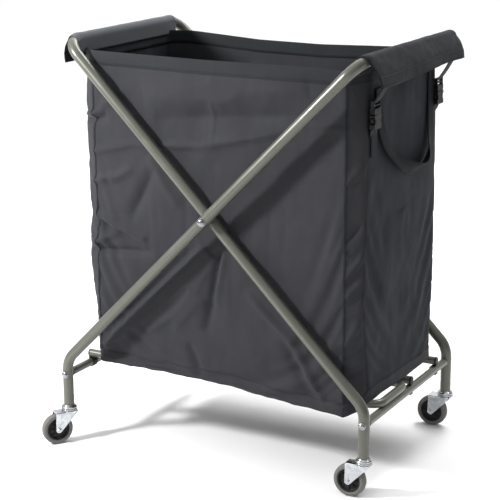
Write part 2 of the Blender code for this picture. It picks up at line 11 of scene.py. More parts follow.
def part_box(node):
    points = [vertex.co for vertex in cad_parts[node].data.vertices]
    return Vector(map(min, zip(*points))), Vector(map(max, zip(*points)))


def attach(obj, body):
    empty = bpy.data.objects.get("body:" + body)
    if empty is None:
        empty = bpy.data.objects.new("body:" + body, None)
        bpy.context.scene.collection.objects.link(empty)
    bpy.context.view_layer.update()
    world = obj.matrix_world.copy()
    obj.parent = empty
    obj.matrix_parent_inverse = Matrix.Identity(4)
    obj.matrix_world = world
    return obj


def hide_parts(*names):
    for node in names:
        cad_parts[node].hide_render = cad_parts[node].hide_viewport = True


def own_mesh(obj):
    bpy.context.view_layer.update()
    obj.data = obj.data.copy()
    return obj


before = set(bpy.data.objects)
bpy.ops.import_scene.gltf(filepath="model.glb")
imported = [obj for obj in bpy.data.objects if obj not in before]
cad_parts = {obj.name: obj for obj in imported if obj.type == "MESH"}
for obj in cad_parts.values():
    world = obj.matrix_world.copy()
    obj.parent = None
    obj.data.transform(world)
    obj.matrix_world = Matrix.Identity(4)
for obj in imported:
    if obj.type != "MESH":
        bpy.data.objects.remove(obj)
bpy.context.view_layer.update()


def middle_of(node):
    low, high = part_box(node)
    return (low + high) / 2


# ---------------------------------------------------------------- sizes, metres

SHIFT = middle_of("pivot_bolt_front").x  # the frames cross at x = 0 in the sizes below
PIVOT_Z = middle_of("pivot_washer_front").z

LEG_X = 0.381
LEG_FOOT_Z = 0.0952
BAR_X = 0.370
BAR_Z = 0.961
OUTER_FRAME_Y = 0.2677
INNER_FRAME_Y = 0.2407
TUBE_RADIUS = 0.0127
TUBE_WALL = 0.0015
LEG_BEND_RADIUS = 0.060
BAR_BEND_RADIUS = 0.045

CROSSBAR_Z = 0.1715
RAIL_RADIUS = 0.009525
RAIL_WALL = 0.0013
RAIL_BEND_RADIUS = 0.028
RAIL_INNER_Y = 0.013
RAIL_OUTER_Y = 0.166
RAIL_END_X = 0.3825
RAIL_CLIP_Z = 0.19295
RAIL_REST_Z = 0.19085

WHEEL_RADIUS = 0.0375
TYRE_INNER_RADIUS = 0.0275
CASTER_TRAIL = 0.032
FORK_INNER_Y = 0.0123
FORK_PLATE = 0.0022
CROWN_BOTTOM_Z = 0.0785
CROWN_TOP_Z = 0.0810

BAG_HALF_X = 0.357
BAG_HALF_Y = 0.2175
SEAM_X = 0.319
CLOTH = 0.0011
HEM_CLOTH_THICKNESS = 0.0006
BAG_RISE = 0.74  # length of the wall from hem to hem
FLAP_INNER_DROP = 0.030
FLAP_LOOSE = 0.062
FLAP_LEAVES_BAR = 24  # degrees above level
BUCKLE_Y = {-1: 0.1280, 1: 0.1760}  # on the left and the right side
LOOP_SPREAD = {-1: 0.62, 1: 1.0}
BUCKLE_X = 0.3615
SOCKET_BOTTOM_Z = 0.8120
SOCKET_TOP_Z = 0.8420
PLUG_TOP_Z = 0.8725
WEBBING_WIDTH = 0.028
LOOP_TOP_Z = 0.893
FLAP_EDGE_X = 0.4035
FLAP_EDGE_Z = 0.9100


# ---------------------------------------------------------------- shader groups


class Wires:
    """Short ways to add and join nodes in one node tree."""

    def __init__(self, tree):
        self.tree = tree

    def node(self, kind, **settings):
        made = self.tree.nodes.new(kind)
        for key, value in settings.items():
            setattr(made, key, value)
        return made

    def feed(self, socket, value):
        if isinstance(value, bpy.types.NodeSocket):
            self.tree.links.new(value, socket)
        elif value is not None:
            socket.default_value = value

    def math(self, operation, a, b=None, c=None, clamp=False):
        made = self.node("ShaderNodeMath", operation=operation, use_clamp=clamp)
        for socket, value in zip(made.inputs, (a, b, c)):
            self.feed(socket, value)
        return made.outputs[0]

    def noise(self, vector, scale, detail=3.0, roughness=0.55, distortion=0.0):
        made = self.node("ShaderNodeTexNoise")
        for key, value in (
            ("Vector", vector),
            ("Scale", scale),
            ("Detail", detail),
            ("Roughness", roughness),
            ("Distortion", distortion),
        ):
            self.feed(made.inputs[key], value)
        return made.outputs["Fac"]

    def span(self, value, low, high, new_low=0.0, new_high=1.0, smooth=True):
        made = self.node("ShaderNodeMapRange")
        if smooth:
            made.interpolation_type = "SMOOTHSTEP"
        for index, item in enumerate((value, low, high, new_low, new_high)):
            self.feed(made.inputs[index], item)
        return made.outputs[0]

    def mix(self, share, a, b, blend="MIX"):
        made = self.node("ShaderNodeMix", data_type="RGBA", blend_type=blend)
        self.feed(made.inputs[0], share)
        for socket, value in ((made.inputs[6], a), (made.inputs[7], b)):
            self.feed(socket, (*value, 1.0) if isinstance(value, tuple) and len(value) == 3 else value)
        return made.outputs[2]

    def stretched(self, vector, scale):
        made = self.node("ShaderNodeMapping")
        self.feed(made.inputs["Vector"], vector)
        made.inputs["Scale"].default_value = scale
        return made.outputs["Vector"]

    def split(self, vector):
        made = self.node("ShaderNodeSeparateXYZ")
        self.feed(made.inputs[0], vector)
        return made.outputs

    def place(self):
        return self.node("ShaderNodeTexCoord").outputs["Object"]

    def flat_place(self):
        return self.node("ShaderNodeTexCoord").outputs["UV"]

    def bump(self, height, strength, distance, normal=None):
        made = self.node("ShaderNodeBump")
        self.feed(made.inputs["Height"], height)
        made.inputs["Strength"].default_value = strength
        made.inputs["Distance"].default_value = distance
        if normal is not None:
            self.feed(made.inputs["Normal"], normal)
        return made.outputs["Normal"]

    def use(self, group, **values):
        made = self.node("ShaderNodeGroup", node_tree=group)
        for key, value in values.items():
            self.feed(made.inputs[key.replace("_", " ")], value)
        return made.outputs


def shader_group(name, inputs, outputs, build):
    """A node group with named number inputs and number outputs."""
    group = bpy.data.node_groups.new(name, "ShaderNodeTree")
    for label, value in inputs.items():
        made = group.interface.new_socket(name=label, in_out="INPUT", socket_type="NodeSocketFloat")
        made.default_value = value
    for label in outputs:
        group.interface.new_socket(name=label, in_out="OUTPUT", socket_type="NodeSocketFloat")
    w = Wires(group)
    given = w.node("NodeGroupInput").outputs
    result = build(w, given)
    end = w.node("NodeGroupOutput")
    for label, value in result.items():
        w.feed(end.inputs[label], value)
    return group


def build_weave(w, given):
    """Plain weave from flat cloth coordinates in metres, with uneven threads."""
    x, y, _ = w.split(w.flat_place())
    a = w.math("DIVIDE", x, given["Pitch"])
    b = w.math("DIVIDE", y, given["Pitch"])
    over = w.math("ABSOLUTE", w.math("SINE", w.math("MULTIPLY", a, math.pi)))
    under = w.math("ABSOLUTE", w.math("SINE", w.math("MULTIPLY", b, math.pi)))
    turn = w.math("MODULO", w.math("ADD", w.math("FLOOR", a), w.math("FLOOR", b)), 2.0)
    turn = w.math("ABSOLUTE", turn)
    height = w.math(
        "ADD", w.math("MULTIPLY", over, turn), w.math("MULTIPLY", under, w.math("SUBTRACT", 1.0, turn))
    )
    warp = w.noise(w.stretched(w.flat_place(), (1400.0, 9.0, 1.0)), 1.0, 2.0)
    weft = w.noise(w.stretched(w.flat_place(), (9.0, 1400.0, 1.0)), 1.0, 2.0)
    slub = w.math("MULTIPLY", w.math("ADD", warp, weft), 0.5)
    return {"Height": height, "Slub": slub}


def build_drift(w, given):
    """Broad uneven tone, such as creased, handled or unevenly coated stuff shows."""
    broad = w.noise(w.place(), given["Scale"], 3.0, 0.6, 0.4)
    fine = w.noise(w.place(), w.math("MULTIPLY", given["Scale"], 9.0), 2.0)
    tone = w.math("ADD", w.math("MULTIPLY", broad, 0.7), w.math("MULTIPLY", fine, 0.3))
    swing = w.math("MULTIPLY", w.math("SUBTRACT", tone, 0.5), given["Amount"])
    return {"Tone": w.math("ADD", swing, 1.0), "Patch": broad}


def build_wear(w, given):
    """Masks for light scuffs and for dust that gathers low down."""
    place = w.place()
    run = w.noise(w.stretched(place, (1.0, 1.0, 0.25)), given["Scuff Scale"], 5.0, 0.7, 0.6)
    scuff = w.span(run, 0.66, 0.74)
    height = w.split(place)[2]
    low = w.span(height, given["Dust Top"], 0.0)
    specks = w.span(w.noise(place, 70.0, 4.0, 0.7), 0.42, 0.72)
    return {"Scuff": scuff, "Dust": w.math("MULTIPLY", low, specks)}


def build_peel(w, given):
    """Orange peel of a baked powder coat, with a few pits."""
    place = w.place()
    peel = w.noise(place, given["Scale"], 2.0, 0.5)
    pits = w.node("ShaderNodeTexVoronoi")
    w.feed(pits.inputs["Vector"], place)
    pits.inputs["Scale"].default_value = 160.0
    pit = w.span(pits.outputs["Distance"], 0.0, 0.10)
    return {"Height": w.math("MULTIPLY", peel, w.math("ADD", w.math("MULTIPLY", pit, 0.3), 0.7))}


def build_plating(w, given):
    """Cloudy spangle of bright plating with faint draw lines."""
    place = w.place()
    cloud = w.noise(place, given["Scale"], 4.0, 0.65, 1.2)
    lines = w.noise(w.stretched(place, (60.0, 60.0, 900.0)), 1.0, 2.0)
    return {"Cloud": cloud, "Lines": lines}


def build_ribs(w, given):
    """Cross ribs of heavy webbing with a finer lengthwise thread."""
    x, y, _ = w.split(w.flat_place())
    rib = w.math(
        "ABSOLUTE", w.math("SINE", w.math("MULTIPLY", w.math("DIVIDE", y, given["Rib Pitch"]), math.pi))
    )
    thread = w.math(
        "ABSOLUTE", w.math("SINE", w.math("MULTIPLY", w.math("DIVIDE", x, given["Thread Pitch"]), math.pi))
    )
    return {
        "Height": w.math("ADD", w.math("MULTIPLY", rib, 0.75), w.math("MULTIPLY", thread, 0.25)), "Rib": rib
    }


WEAVE = shader_group("plain_weave", {"Pitch": 0.0006}, ("Height", "Slub"), build_weave)
DRIFT = shader_group("tone_drift", {"Scale": 8.0, "Amount": 0.3}, ("Tone", "Patch"), build_drift)
WEAR = shader_group(
    "scuffs_and_dust", {"Scuff Scale": 30.0, "Dust Top": 0.12}, ("Scuff", "Dust"), build_wear
)
PEEL = shader_group("powder_peel", {"Scale": 900.0}, ("Height",), build_peel)
PLATING = shader_group("plating_cloud", {"Scale": 60.0}, ("Cloud", "Lines"), build_plating)
RIBS = shader_group(
    "webbing_ribs", {"Rib Pitch": 0.0028, "Thread Pitch": 0.0009}, ("Height", "Rib"), build_ribs
)


# ---------------------------------------------------------------- finishes


def finish(name, **constants):
    """A new material, its wires and its shader, with the shader's plain values set."""
    made = bpy.data.materials.new(name)
    made.use_nodes = True
    shader = made.node_tree.nodes["Principled BSDF"]
    for key, value in constants.items():
        shader.inputs[key.replace("_", " ")].default_value = value
    return made, Wires(made.node_tree), shader.inputs


def shaded(w, colour, tone):
    """A colour made lighter or darker by a tone round 1."""
    grey = w.node("ShaderNodeCombineColor")
    for socket in grey.inputs[:3]:
        w.feed(socket, tone)
    return w.mix(1.0, colour, grey.outputs[0], "MULTIPLY")


def cloth_finish(name, colour, light, pitch=0.00055, rough=0.78, weave=0.35, shine=0.30):
    made, w, shader = finish(name, Sheen_Weight=shine * 0.25, Sheen_Roughness=0.4, Specular_IOR_Level=shine)
    weaves = w.use(WEAVE, Pitch=pitch)
    drift = w.use(DRIFT, Scale=7.0, Amount=0.28)
    wear = w.use(WEAR, Scuff_Scale=24.0, Dust_Top=0.26)
    slub = w.span(weaves["Slub"], 0.35, 0.65, 0.86, 1.12)
    base = shaded(w, colour, w.math("MULTIPLY", drift["Tone"], slub))
    # The weave's crests are mixed towards the lighter colour and its hollows stay darker: painted light and
    # shade in the weave.
    threads = w.mix(w.math("MULTIPLY", weaves["Height"], 0.35), base, light)
    dusty = w.mix(w.math("MULTIPLY", wear["Dust"], 0.10), threads, (0.30, 0.29, 0.27))
    w.feed(shader["Base Color"], w.mix(w.math("MULTIPLY", wear["Scuff"], 0.10), dusty, light))
    w.feed(shader["Roughness"], w.span(drift["Patch"], 0.3, 0.7, rough - 0.07, rough + 0.07))
    soft = w.bump(w.noise(w.place(), 42.0, 3.0, 0.55), 0.10, 0.004)
    w.feed(shader["Normal"], w.bump(weaves["Height"], weave, 0.00025, soft))
    return made


def webbing_finish(name, colour, light, rib=0.0028, strength=0.6):
    made, w, shader = finish(name, Sheen_Weight=0.02, Sheen_Roughness=0.4, Specular_IOR_Level=0.14)
    ribs = w.use(RIBS, Rib_Pitch=rib)
    drift = w.use(DRIFT, Scale=30.0, Amount=0.35)
    base = shaded(w, colour, drift["Tone"])
    # The rib crests are mixed towards the lighter colour: painted light on the ribs.
    w.feed(shader["Base Color"], w.mix(w.math("MULTIPLY", ribs["Rib"], 0.4), base, light))
    w.feed(shader["Roughness"], w.span(ribs["Rib"], 0.0, 1.0, 0.82, 0.58))
    w.feed(shader["Normal"], w.bump(ribs["Height"], strength, 0.0006))
    return made


def paint_finish(name):
    made, w, shader = finish(name, Metallic=0.35, Coat_Weight=0.25, Coat_Roughness=0.20)
    drift = w.use(DRIFT, Scale=16.0, Amount=0.16)
    wear = w.use(WEAR, Scuff_Scale=38.0, Dust_Top=0.16)
    peel = w.use(PEEL, Scale=750.0)
    flake = w.span(w.noise(w.place(), 2600.0, 1.0), 0.3, 0.7, 0.90, 1.10)
    base = shaded(w, (0.104, 0.106, 0.088), w.math("MULTIPLY", drift["Tone"], flake))
    base = w.mix(w.math("MULTIPLY", wear["Scuff"], 0.30), base, (0.185, 0.184, 0.165))
    w.feed(shader["Base Color"], w.mix(w.math("MULTIPLY", wear["Dust"], 0.25), base, (0.22, 0.21, 0.19)))
    w.feed(shader["Roughness"], w.span(drift["Patch"], 0.3, 0.7, 0.30, 0.42))
    w.feed(shader["Normal"], w.bump(peel["Height"], 0.12, 0.0003))
    return made


def metal_finish(name, colour, tint, rough, dirt):
    made, w, shader = finish(name, Metallic=1.0)
    plating = w.use(PLATING, Scale=75.0)
    wear = w.use(WEAR, Scuff_Scale=60.0, Dust_Top=0.10)
    base = w.mix(w.span(plating["Cloud"], 0.35, 0.68), colour, tint)
    w.feed(shader["Base Color"], w.mix(w.math("MULTIPLY", wear["Dust"], dirt), base, (0.20, 0.19, 0.17)))
    spread = w.span(plating["Cloud"], 0.3, 0.7, rough * 0.75, rough * 1.35)
    w.feed(shader["Roughness"], w.math("ADD", spread, w.math("MULTIPLY", wear["Scuff"], 0.12)))
    w.feed(shader["Normal"], w.bump(plating["Lines"], 0.10, 0.0002))
    return made


def rubber_finish(name):
    made, w, shader = finish(name, Specular_IOR_Level=0.35)
    drift = w.use(DRIFT, Scale=55.0, Amount=0.22)
    grain = w.noise(w.place(), 1300.0, 2.0)
    grime = w.span(w.noise(w.place(), 95.0, 5.0, 0.75, 0.8), 0.50, 0.72)
    base = shaded(w, (0.135, 0.130, 0.124), drift["Tone"])
    w.feed(shader["Base Color"], w.mix(w.math("MULTIPLY", grime, 0.45), base, (0.055, 0.053, 0.050)))
    w.feed(shader["Roughness"], w.span(grain, 0.3, 0.7, 0.55, 0.72))
    w.feed(shader["Normal"], w.bump(grain, 0.2, 0.0003))
    return made


def plastic_finish(name, colour, rough=0.38):
    made, w, shader = finish(name, Specular_IOR_Level=0.20)
    grain = w.noise(w.place(), 1800.0, 2.0)
    drift = w.use(DRIFT, Scale=40.0, Amount=0.25)
    wear = w.use(WEAR, Scuff_Scale=90.0, Dust_Top=0.07)
    base = shaded(w, colour, drift["Tone"])
    base = w.mix(w.math("MULTIPLY", wear["Scuff"], 0.15), base, (0.045, 0.045, 0.047))
    w.feed(shader["Base Color"], w.mix(w.math("MULTIPLY", wear["Dust"], 0.2), base, (0.12, 0.115, 0.108)))
    w.feed(shader["Roughness"], w.span(drift["Patch"], 0.3, 0.7, rough - 0.06, rough + 0.12))
    w.feed(shader["Normal"], w.bump(grain, 0.18, 0.0003))
    return made


BAG_CLOTH = cloth_finish("charcoal_bag_cloth", (0.0205, 0.0207, 0.0240), (0.046, 0.0465, 0.053), shine=0.20)
# A darker copy of the charcoal cloth for the side panels: painted shade.
SHADED_SIDE_CLOTH = cloth_finish(
    "charcoal_side_cloth_painted_shade", (0.0115, 0.0135, 0.0175), (0.025, 0.028, 0.034), shine=0.14
)
# A darker copy of the charcoal cloth for the flaps: painted shade.
SHADED_FLAP_CLOTH = cloth_finish(
    "charcoal_flap_cloth_painted_shade", (0.0105, 0.0120, 0.0145), (0.025, 0.027, 0.031), shine=0.16
)
# A darker copy of the charcoal cloth for the top hem band: painted shade.
SHADED_HEM_CLOTH = cloth_finish("charcoal_hem_cloth_painted_shade", (0.0145, 0.0160, 0.0180), (0.034, 0.036, 0.040), shine=0.18)
# A much lighter copy of the charcoal cloth for the top of the left flap: painted light.
LIT_FLAP_CLOTH = cloth_finish("flap_cloth_painted_light", (0.088, 0.093, 0.103), (0.124, 0.129, 0.141))
HANDLE_CLOTH = cloth_finish(
    "dark_handle_cloth", (0.0060, 0.0066, 0.0080), (0.016, 0.0175, 0.020), 0.0007, 0.72, shine=0.10
)
THREAD = webbing_finish("charcoal_thread", (0.016, 0.016, 0.019), (0.038, 0.038, 0.043), 0.0008, 0.3)
WEBBING = webbing_finish("charcoal_webbing", (0.0070, 0.0076, 0.0090), (0.020, 0.0215, 0.025))
PAINT = paint_finish("satin_grey_paint")
ZINC = metal_finish("bright_zinc", (0.66, 0.68, 0.70), (0.50, 0.52, 0.55), 0.24, 0.25)
BOLT_STEEL = metal_finish("bolt_steel", (0.36, 0.37, 0.38), (0.24, 0.25, 0.26), 0.20, 0.25)
CHROME = metal_finish("chrome_steel", (0.50, 0.51, 0.52), (0.36, 0.37, 0.385), 0.16, 0.15)
RUBBER = rubber_finish("grey_rubber")
PLASTIC = plastic_finish("black_plastic", (0.0050, 0.0050, 0.0056), 0.46)
HUB_PLASTIC = plastic_finish("black_hub_plastic", (0.0090, 0.0090, 0.0098), 0.45)


# ---------------------------------------------------------------- mesh helpers


def unit(vectors):
    vectors = np.asarray(vectors, float)
    return vectors / np.maximum(np.linalg.norm(vectors, axis=-1, keepdims=True), 1e-12)


def quads(rows, columns, wrap=False):
    """Faces of a grid of points laid out row by row."""
    made = []
    for i in range(rows - 1):
        for k in range(columns if wrap else columns - 1):
            n = (k + 1) % columns
            made.append((i * columns + k, i * columns + n, (i + 1) * columns + n, (i + 1) * columns + k))
    return made


class Shape:
    """Points and faces gathered for one piece."""

    def __init__(self):
        self.points = []
        self.faces = []
        self.flat = []

    def add(self, points, faces, flat=None):
        start = len(self.points)
        self.points += [tuple(p) for p in np.asarray(points, float).reshape(-1, 3)]
        self.faces += [tuple(start + i for i in face) for face in faces]
        self.flat += [(0.0, 0.0)] * len(self.points[start:]) if flat is None else [tuple(p) for p in flat]
        return self

    def moved(self, matrix):
        self.points = [tuple(matrix @ Vector(p)) for p in self.points]
        return self


def piece(name, shape, surface, body, stands_for=(), crease=40, bevel=0.0, steps=2, shift=True):
    """Makes a shape into a piece that rides on a body and stands for CAD nodes."""
    mesh = bpy.data.meshes.new(name)
    mesh.from_pydata(shape.points, [], shape.faces)
    mesh.validate()
    work = bmesh.new()
    work.from_mesh(mesh)
    bmesh.ops.recalc_face_normals(work, faces=work.faces[:])
    if shift:
        bmesh.ops.translate(work, verts=work.verts, vec=(SHIFT, 0, 0))
    work.to_mesh(mesh)
    work.free()
    layer = mesh.uv_layers.new(name="flat")
    for loop in mesh.loops:
        layer.data[loop.index].uv = shape.flat[loop.vertex_index]
    mesh.materials.append(surface)
    mesh.shade_smooth()
    mesh.set_sharp_from_angle(angle=math.radians(crease))
    made = bpy.data.objects.new(name, mesh)
    bpy.context.scene.collection.objects.link(made)
    if bevel:
        rounding = made.modifiers.new("rounded edges", "BEVEL")
        rounding.width = bevel
        rounding.segments = steps
        rounding.limit_method = "ANGLE"
        rounding.angle_limit = math.radians(35)
        rounding.harden_normals = True
    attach(made, body)
    if stands_for:
        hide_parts(*stands_for)
    return made


def rounded_path(corners, radii, steps):
    """The corner points with every inner corner turned into an arc."""
    path = [Vector(corners[0])]
    for before, corner, after, radius in zip(corners, corners[1:], corners[2:], radii):
        before, corner, after = Vector(before), Vector(corner), Vector(after)
        come = (before - corner).normalized()
        go = (after - corner).normalized()
        half = come.angle(go) / 2
        if radius <= 0 or half > math.radians(89.5):
            path.append(corner)
            continue
        middle = corner + (come + go).normalized() * (radius / math.sin(half))
        first = corner + come * (radius / math.tan(half)) - middle
        last = corner + go * (radius / math.tan(half)) - middle
        turn = first.angle(last)
        for i in range(steps + 1):
            share = i / steps
            path.append(
                middle + (
                    first * math.sin((1 - share) * turn) + last * math.sin(share * turn)
                ) / math.sin(turn)
            )
    path.append(Vector(corners[-1]))
    return path


def spaced(path, step):
    """Points at an even spacing along a path."""
    path = np.array([tuple(p) for p in path], float)
    along = np.concatenate([[0], np.cumsum(np.linalg.norm(np.diff(path, axis=0), axis=1))])
    count = max(2, int(round(along[-1] / step)) + 1)
    at = np.linspace(0, along[-1], count)
    return np.stack([np.interp(at, along, path[:, k]) for k in range(path.shape[1])], axis=1), at


def curve_through(points, step):
    """A smooth line through a few points, at an even spacing."""
    p = np.array(points, float)
    ends = np.vstack([2 * p[0] - p[1], p, 2 * p[-1] - p[-2]])
    t = np.linspace(0, 1, 13)[:-1, None]
    made = []
    for a, b, c, d in zip(ends, ends[1:], ends[2:], ends[3:]):
        made.append(
            0.5 * (
                2 * b + (c - a) * t + (2 * a - 5 * b + 4 * c - d) * t**2 + (3 * b - a - 3 * c + d) * t**3
            )
        )
    return spaced(np.vstack([*made, p[-1:]]), step)[0]


def directions(path):
    """Tangents along a path, and cross directions that turn as little as they can."""
    path = np.asarray(path, float)
    runs = unit(np.diff(path, axis=0))
    tangents = unit(np.vstack([runs[:1], runs[:-1] + runs[1:], runs[-1:]]))
    start = np.cross(tangents[0], (0.31, 0.87, 0.38))
    across = [unit(start)]
    for tangent in tangents[1:]:
        side = across[-1] - tangent * np.dot(across[-1], tangent)
        across.append(unit(side))
    return tangents, np.array(across)


def tube(shape, path, radius, wall, sides=26, bore=0.014):
    """A round tube along a path, with a rounded lip and a short bore at both ends."""
    path = np.array([tuple(p) for p in path], float)
    radius = np.broadcast_to(np.asarray(radius, float), (len(path),))
    tangents, across = directions(path)
    spin = np.linspace(0, 2 * math.pi, sides, endpoint=False)
    rings = []

    def ring(index, size, push=0.0):
        centre = path[index] + tangents[index] * push
        other = np.cross(tangents[index], across[index])
        rings.append(
            centre + size * (np.outer(np.cos(spin), across[index]) + np.outer(np.sin(spin), other))
        )

    lip = wall * 0.35
    ring(0, radius[0] - wall, bore)
    ring(0, radius[0] - wall, lip)
    ring(0, radius[0] - wall + lip)
    ring(0, radius[0] - lip)
    ring(0, radius[0], lip)
    for index in range(1, len(path) - 1):
        ring(index, radius[index])
    ring(-1, radius[-1], -lip)
    ring(-1, radius[-1] - lip)
    ring(-1, radius[-1] - wall + lip)
    ring(-1, radius[-1] - wall, -lip)
    ring(-1, radius[-1] - wall, -bore)
    faces = quads(len(rings), sides, wrap=True)
    last = (len(rings) - 1) * sides
    faces += [tuple(range(sides)), tuple(range(last, last + sides))]
    shape.add(np.vstack(rings), faces)
    return shape


def softened(profile, radius, steps=3):
    """A profile of (radius, height) points with its corners rounded."""
    corners = [(r, h, 0.0) for r, h in profile]
    radii = []
    for a, b, c in zip(corners, corners[1:], corners[2:]):
        a, b, c = Vector(a), Vector(b), Vector(c)
        half = (a - b).angle(c - b) / 2
        room = 0.45 * min((a - b).length, (c - b).length)
        radii.append(min(radius, room * math.tan(half)) if half < math.radians(87) else 0.0)
    return [(p.x, p.y) for p in rounded_path(corners, radii, steps)]


def turned(shape, profile, sides=40, matrix=None, loop=False):
    """A profile turned about Z. Ends on the axis close it, and loop joins its ends."""
    spin = np.linspace(0, 2 * math.pi, sides, endpoint=False)
    points, faces, rings = [], [], []
    for radius, height in profile:
        if radius < 1e-6:
            rings.append([len(points)] * sides)
            points.append((0, 0, height))
            continue
        rings.append(list(range(len(points), len(points) + sides)))
        points += [(radius * math.cos(a), radius * math.sin(a), height) for a in spin]
    for a, b in list(zip(rings, rings[1:])) + ([(rings[-1], rings[0])] if loop else []):
        for k in range(sides):
            n = (k + 1) % sides
            corners = tuple(dict.fromkeys((a[k], a[n], b[n], b[k])))
            if len(corners) > 2:
                faces.append(corners)
    if matrix is not None:
        points = [tuple(matrix @ Vector(p)) for p in points]
    return shape.add(points, faces)


def prism(shape, outline, low, high, axis="Y"):
    """An outline pushed along an axis. It lies in XZ for axis Y, XY for Z, and YZ for X."""
    place = {
        "Y": lambda a, b, c: (a, c, b), "Z": lambda a, b, c: (a, b, c), "X": lambda a, b, c: (c, a, b)
    }[axis]
    n = len(outline)
    points = [place(a, b, c) for c in (low, high) for a, b in outline]
    faces = [tuple(range(n)), tuple(range(2 * n - 1, n - 1, -1))]
    faces += [(k, (k + 1) % n, n + (k + 1) % n, n + k) for k in range(n)]
    return shape.add(points, faces)


def block(shape, x, y, z):
    x, y, z = sorted(x), sorted(y), sorted(z)
    return prism(shape, ((x[0], z[0]), (x[1], z[0]), (x[1], z[1]), (x[0], z[1])), *y)


def arc(centre, radius, start, end, steps):
    """Points on an arc, in degrees."""
    for i in range(steps + 1):
        angle = math.radians(start + (end - start) * i / steps)
        yield (centre[0] + radius * math.cos(angle), centre[1] + radius * math.sin(angle))


def strap(shape, path, width, thickness, wide, ribs=0.0, rib_pitch=0.0028, sides=5):
    """A flat band along a path. wide is its width direction at each point."""
    path = np.asarray(path, float)
    tangents, _ = directions(path)
    wide = np.broadcast_to(np.asarray(wide, float), path.shape)
    wide = unit(wide - tangents * np.sum(wide * tangents, axis=1)[:, None])
    out = np.cross(tangents, wide)
    along = np.concatenate([[0], np.cumsum(np.linalg.norm(np.diff(path, axis=0), axis=1))])
    swell = 1 + ribs * np.abs(np.sin(math.pi * along / rib_pitch))
    section = []
    half_w, half_t = width / 2, thickness / 2
    for k in range(sides + 1):
        section.append((-half_w + half_t + (width - thickness) * k / sides, half_t))
    section += [(half_w, half_t * 0.45), (half_w, -half_t * 0.45)]
    for k in range(sides + 1):
        section.append((half_w - half_t - (width - thickness) * k / sides, -half_t))
    section += [(-half_w, -half_t * 0.45), (-half_w, half_t * 0.45)]
    section = np.array(section)
    points = (
        path[:, None]
        + wide[:, None] * section[None, :, :1]
        + out[:, None] * (section[None, :, 1:] * swell[:, None, None])
    )
    n = len(section)
    faces = quads(len(path), n, wrap=True)
    last = (len(path) - 1) * n
    faces += [tuple(range(n)), tuple(range(last, last + n))]
    flat = [(section[k][0], along[i]) for i in range(len(path)) for k in range(n)]
    return shape.add(points, faces, flat)


def stitches(shape, line, normals, pitch=0.0040, length=0.0029, size=0.00042, lift=0.0001):
    """Separate thread stitches laid end to end along a line."""
    line = np.asarray(line, float)
    normals = np.broadcast_to(np.asarray(normals, float), line.shape)
    along = np.concatenate([[0], np.cumsum(np.linalg.norm(np.diff(line, axis=0), axis=1))])
    starts = np.arange(pitch * 0.4, along[-1] - length, pitch)

    def sample(values, at):
        return np.stack([np.interp(at, along, values[:, k]) for k in range(3)], axis=1)

    a, b = sample(line, starts), sample(line, starts + length)
    up = unit(sample(normals, starts + length / 2))
    run = unit(b - a)
    side = np.cross(run, up)
    up, side = up * size, side * size
    rise = unit(up) * lift
    q1, q3 = a + (b - a) * 0.22 + rise, a + (b - a) * 0.78 + rise
    points, faces = [], []
    for i in range(len(starts)):
        base = len(points)
        points += [a[i] - up[i] * 0.6]
        for q in (q1, q3):
            points += [q[i] + up[i], q[i] + side[i], q[i] - up[i], q[i] - side[i]]
        points += [b[i] - up[i] * 0.6]
        for k in range(4):
            n = (k + 1) % 4
            faces += [
                (base, base + 1 + n, base + 1 + k),
                (base + 1 + k, base + 1 + n, base + 5 + n, base + 5 + k),
                (base + 9, base + 5 + k, base + 5 + n),
            ]
    return shape.add(points, faces)


def facing(side, at):
    """A matrix that stands a piece drawn along +Z out along Y on the given side."""
    return Matrix.Translation(at) @ Matrix.Rotation(math.pi / 2 * -side, 4, "X")


# ---------------------------------------------------------------- frames


def frame_path(side, half_depth):
    slope = (BAR_Z - PIVOT_Z) / BAR_X
    knee_z = PIVOT_Z - LEG_X * slope
    half = [
        (side * LEG_X, -half_depth, LEG_FOOT_Z),
        (side * LEG_X, -half_depth, LEG_FOOT_Z + 0.0245),
        (side * LEG_X, -half_depth, LEG_FOOT_Z + 0.0270),
        (side * LEG_X, -half_depth, LEG_FOOT_Z + 0.0295),
        (side * LEG_X, -half_depth, knee_z),
        (-side * BAR_X, -half_depth, BAR_Z),
    ]
    corners = half + [(x, -y, z) for x, y, z in half[::-1]]
    radii = [0, 0, 0, LEG_BEND_RADIUS, BAR_BEND_RADIUS]
    return rounded_path(corners, radii + radii[::-1], 14)


def bolt_head(shape, matrix, size=0.0078, tall=0.0048, washer=0.0092):
    """A domed head on a thin washer."""
    disc = [(0, 0), (washer, 0), (washer, 0.0011), (size * 0.99, 0.0013)]
    turned(shape, softened(disc + [(0, 0.0013)], 0.0003), 40, matrix)
    dome = [(0, 0.0010), (size, 0.0010), (size, 0.0010 + tall * 0.30)]
    dome += [
        (size * math.cos(a), 0.0010 + tall * (0.30 + 0.70 * math.sin(a)))
        for a in np.linspace(0.15, 1.35, 9)
    ]
    turned(shape, dome + [(0, 0.0010 + tall)], 40, matrix)


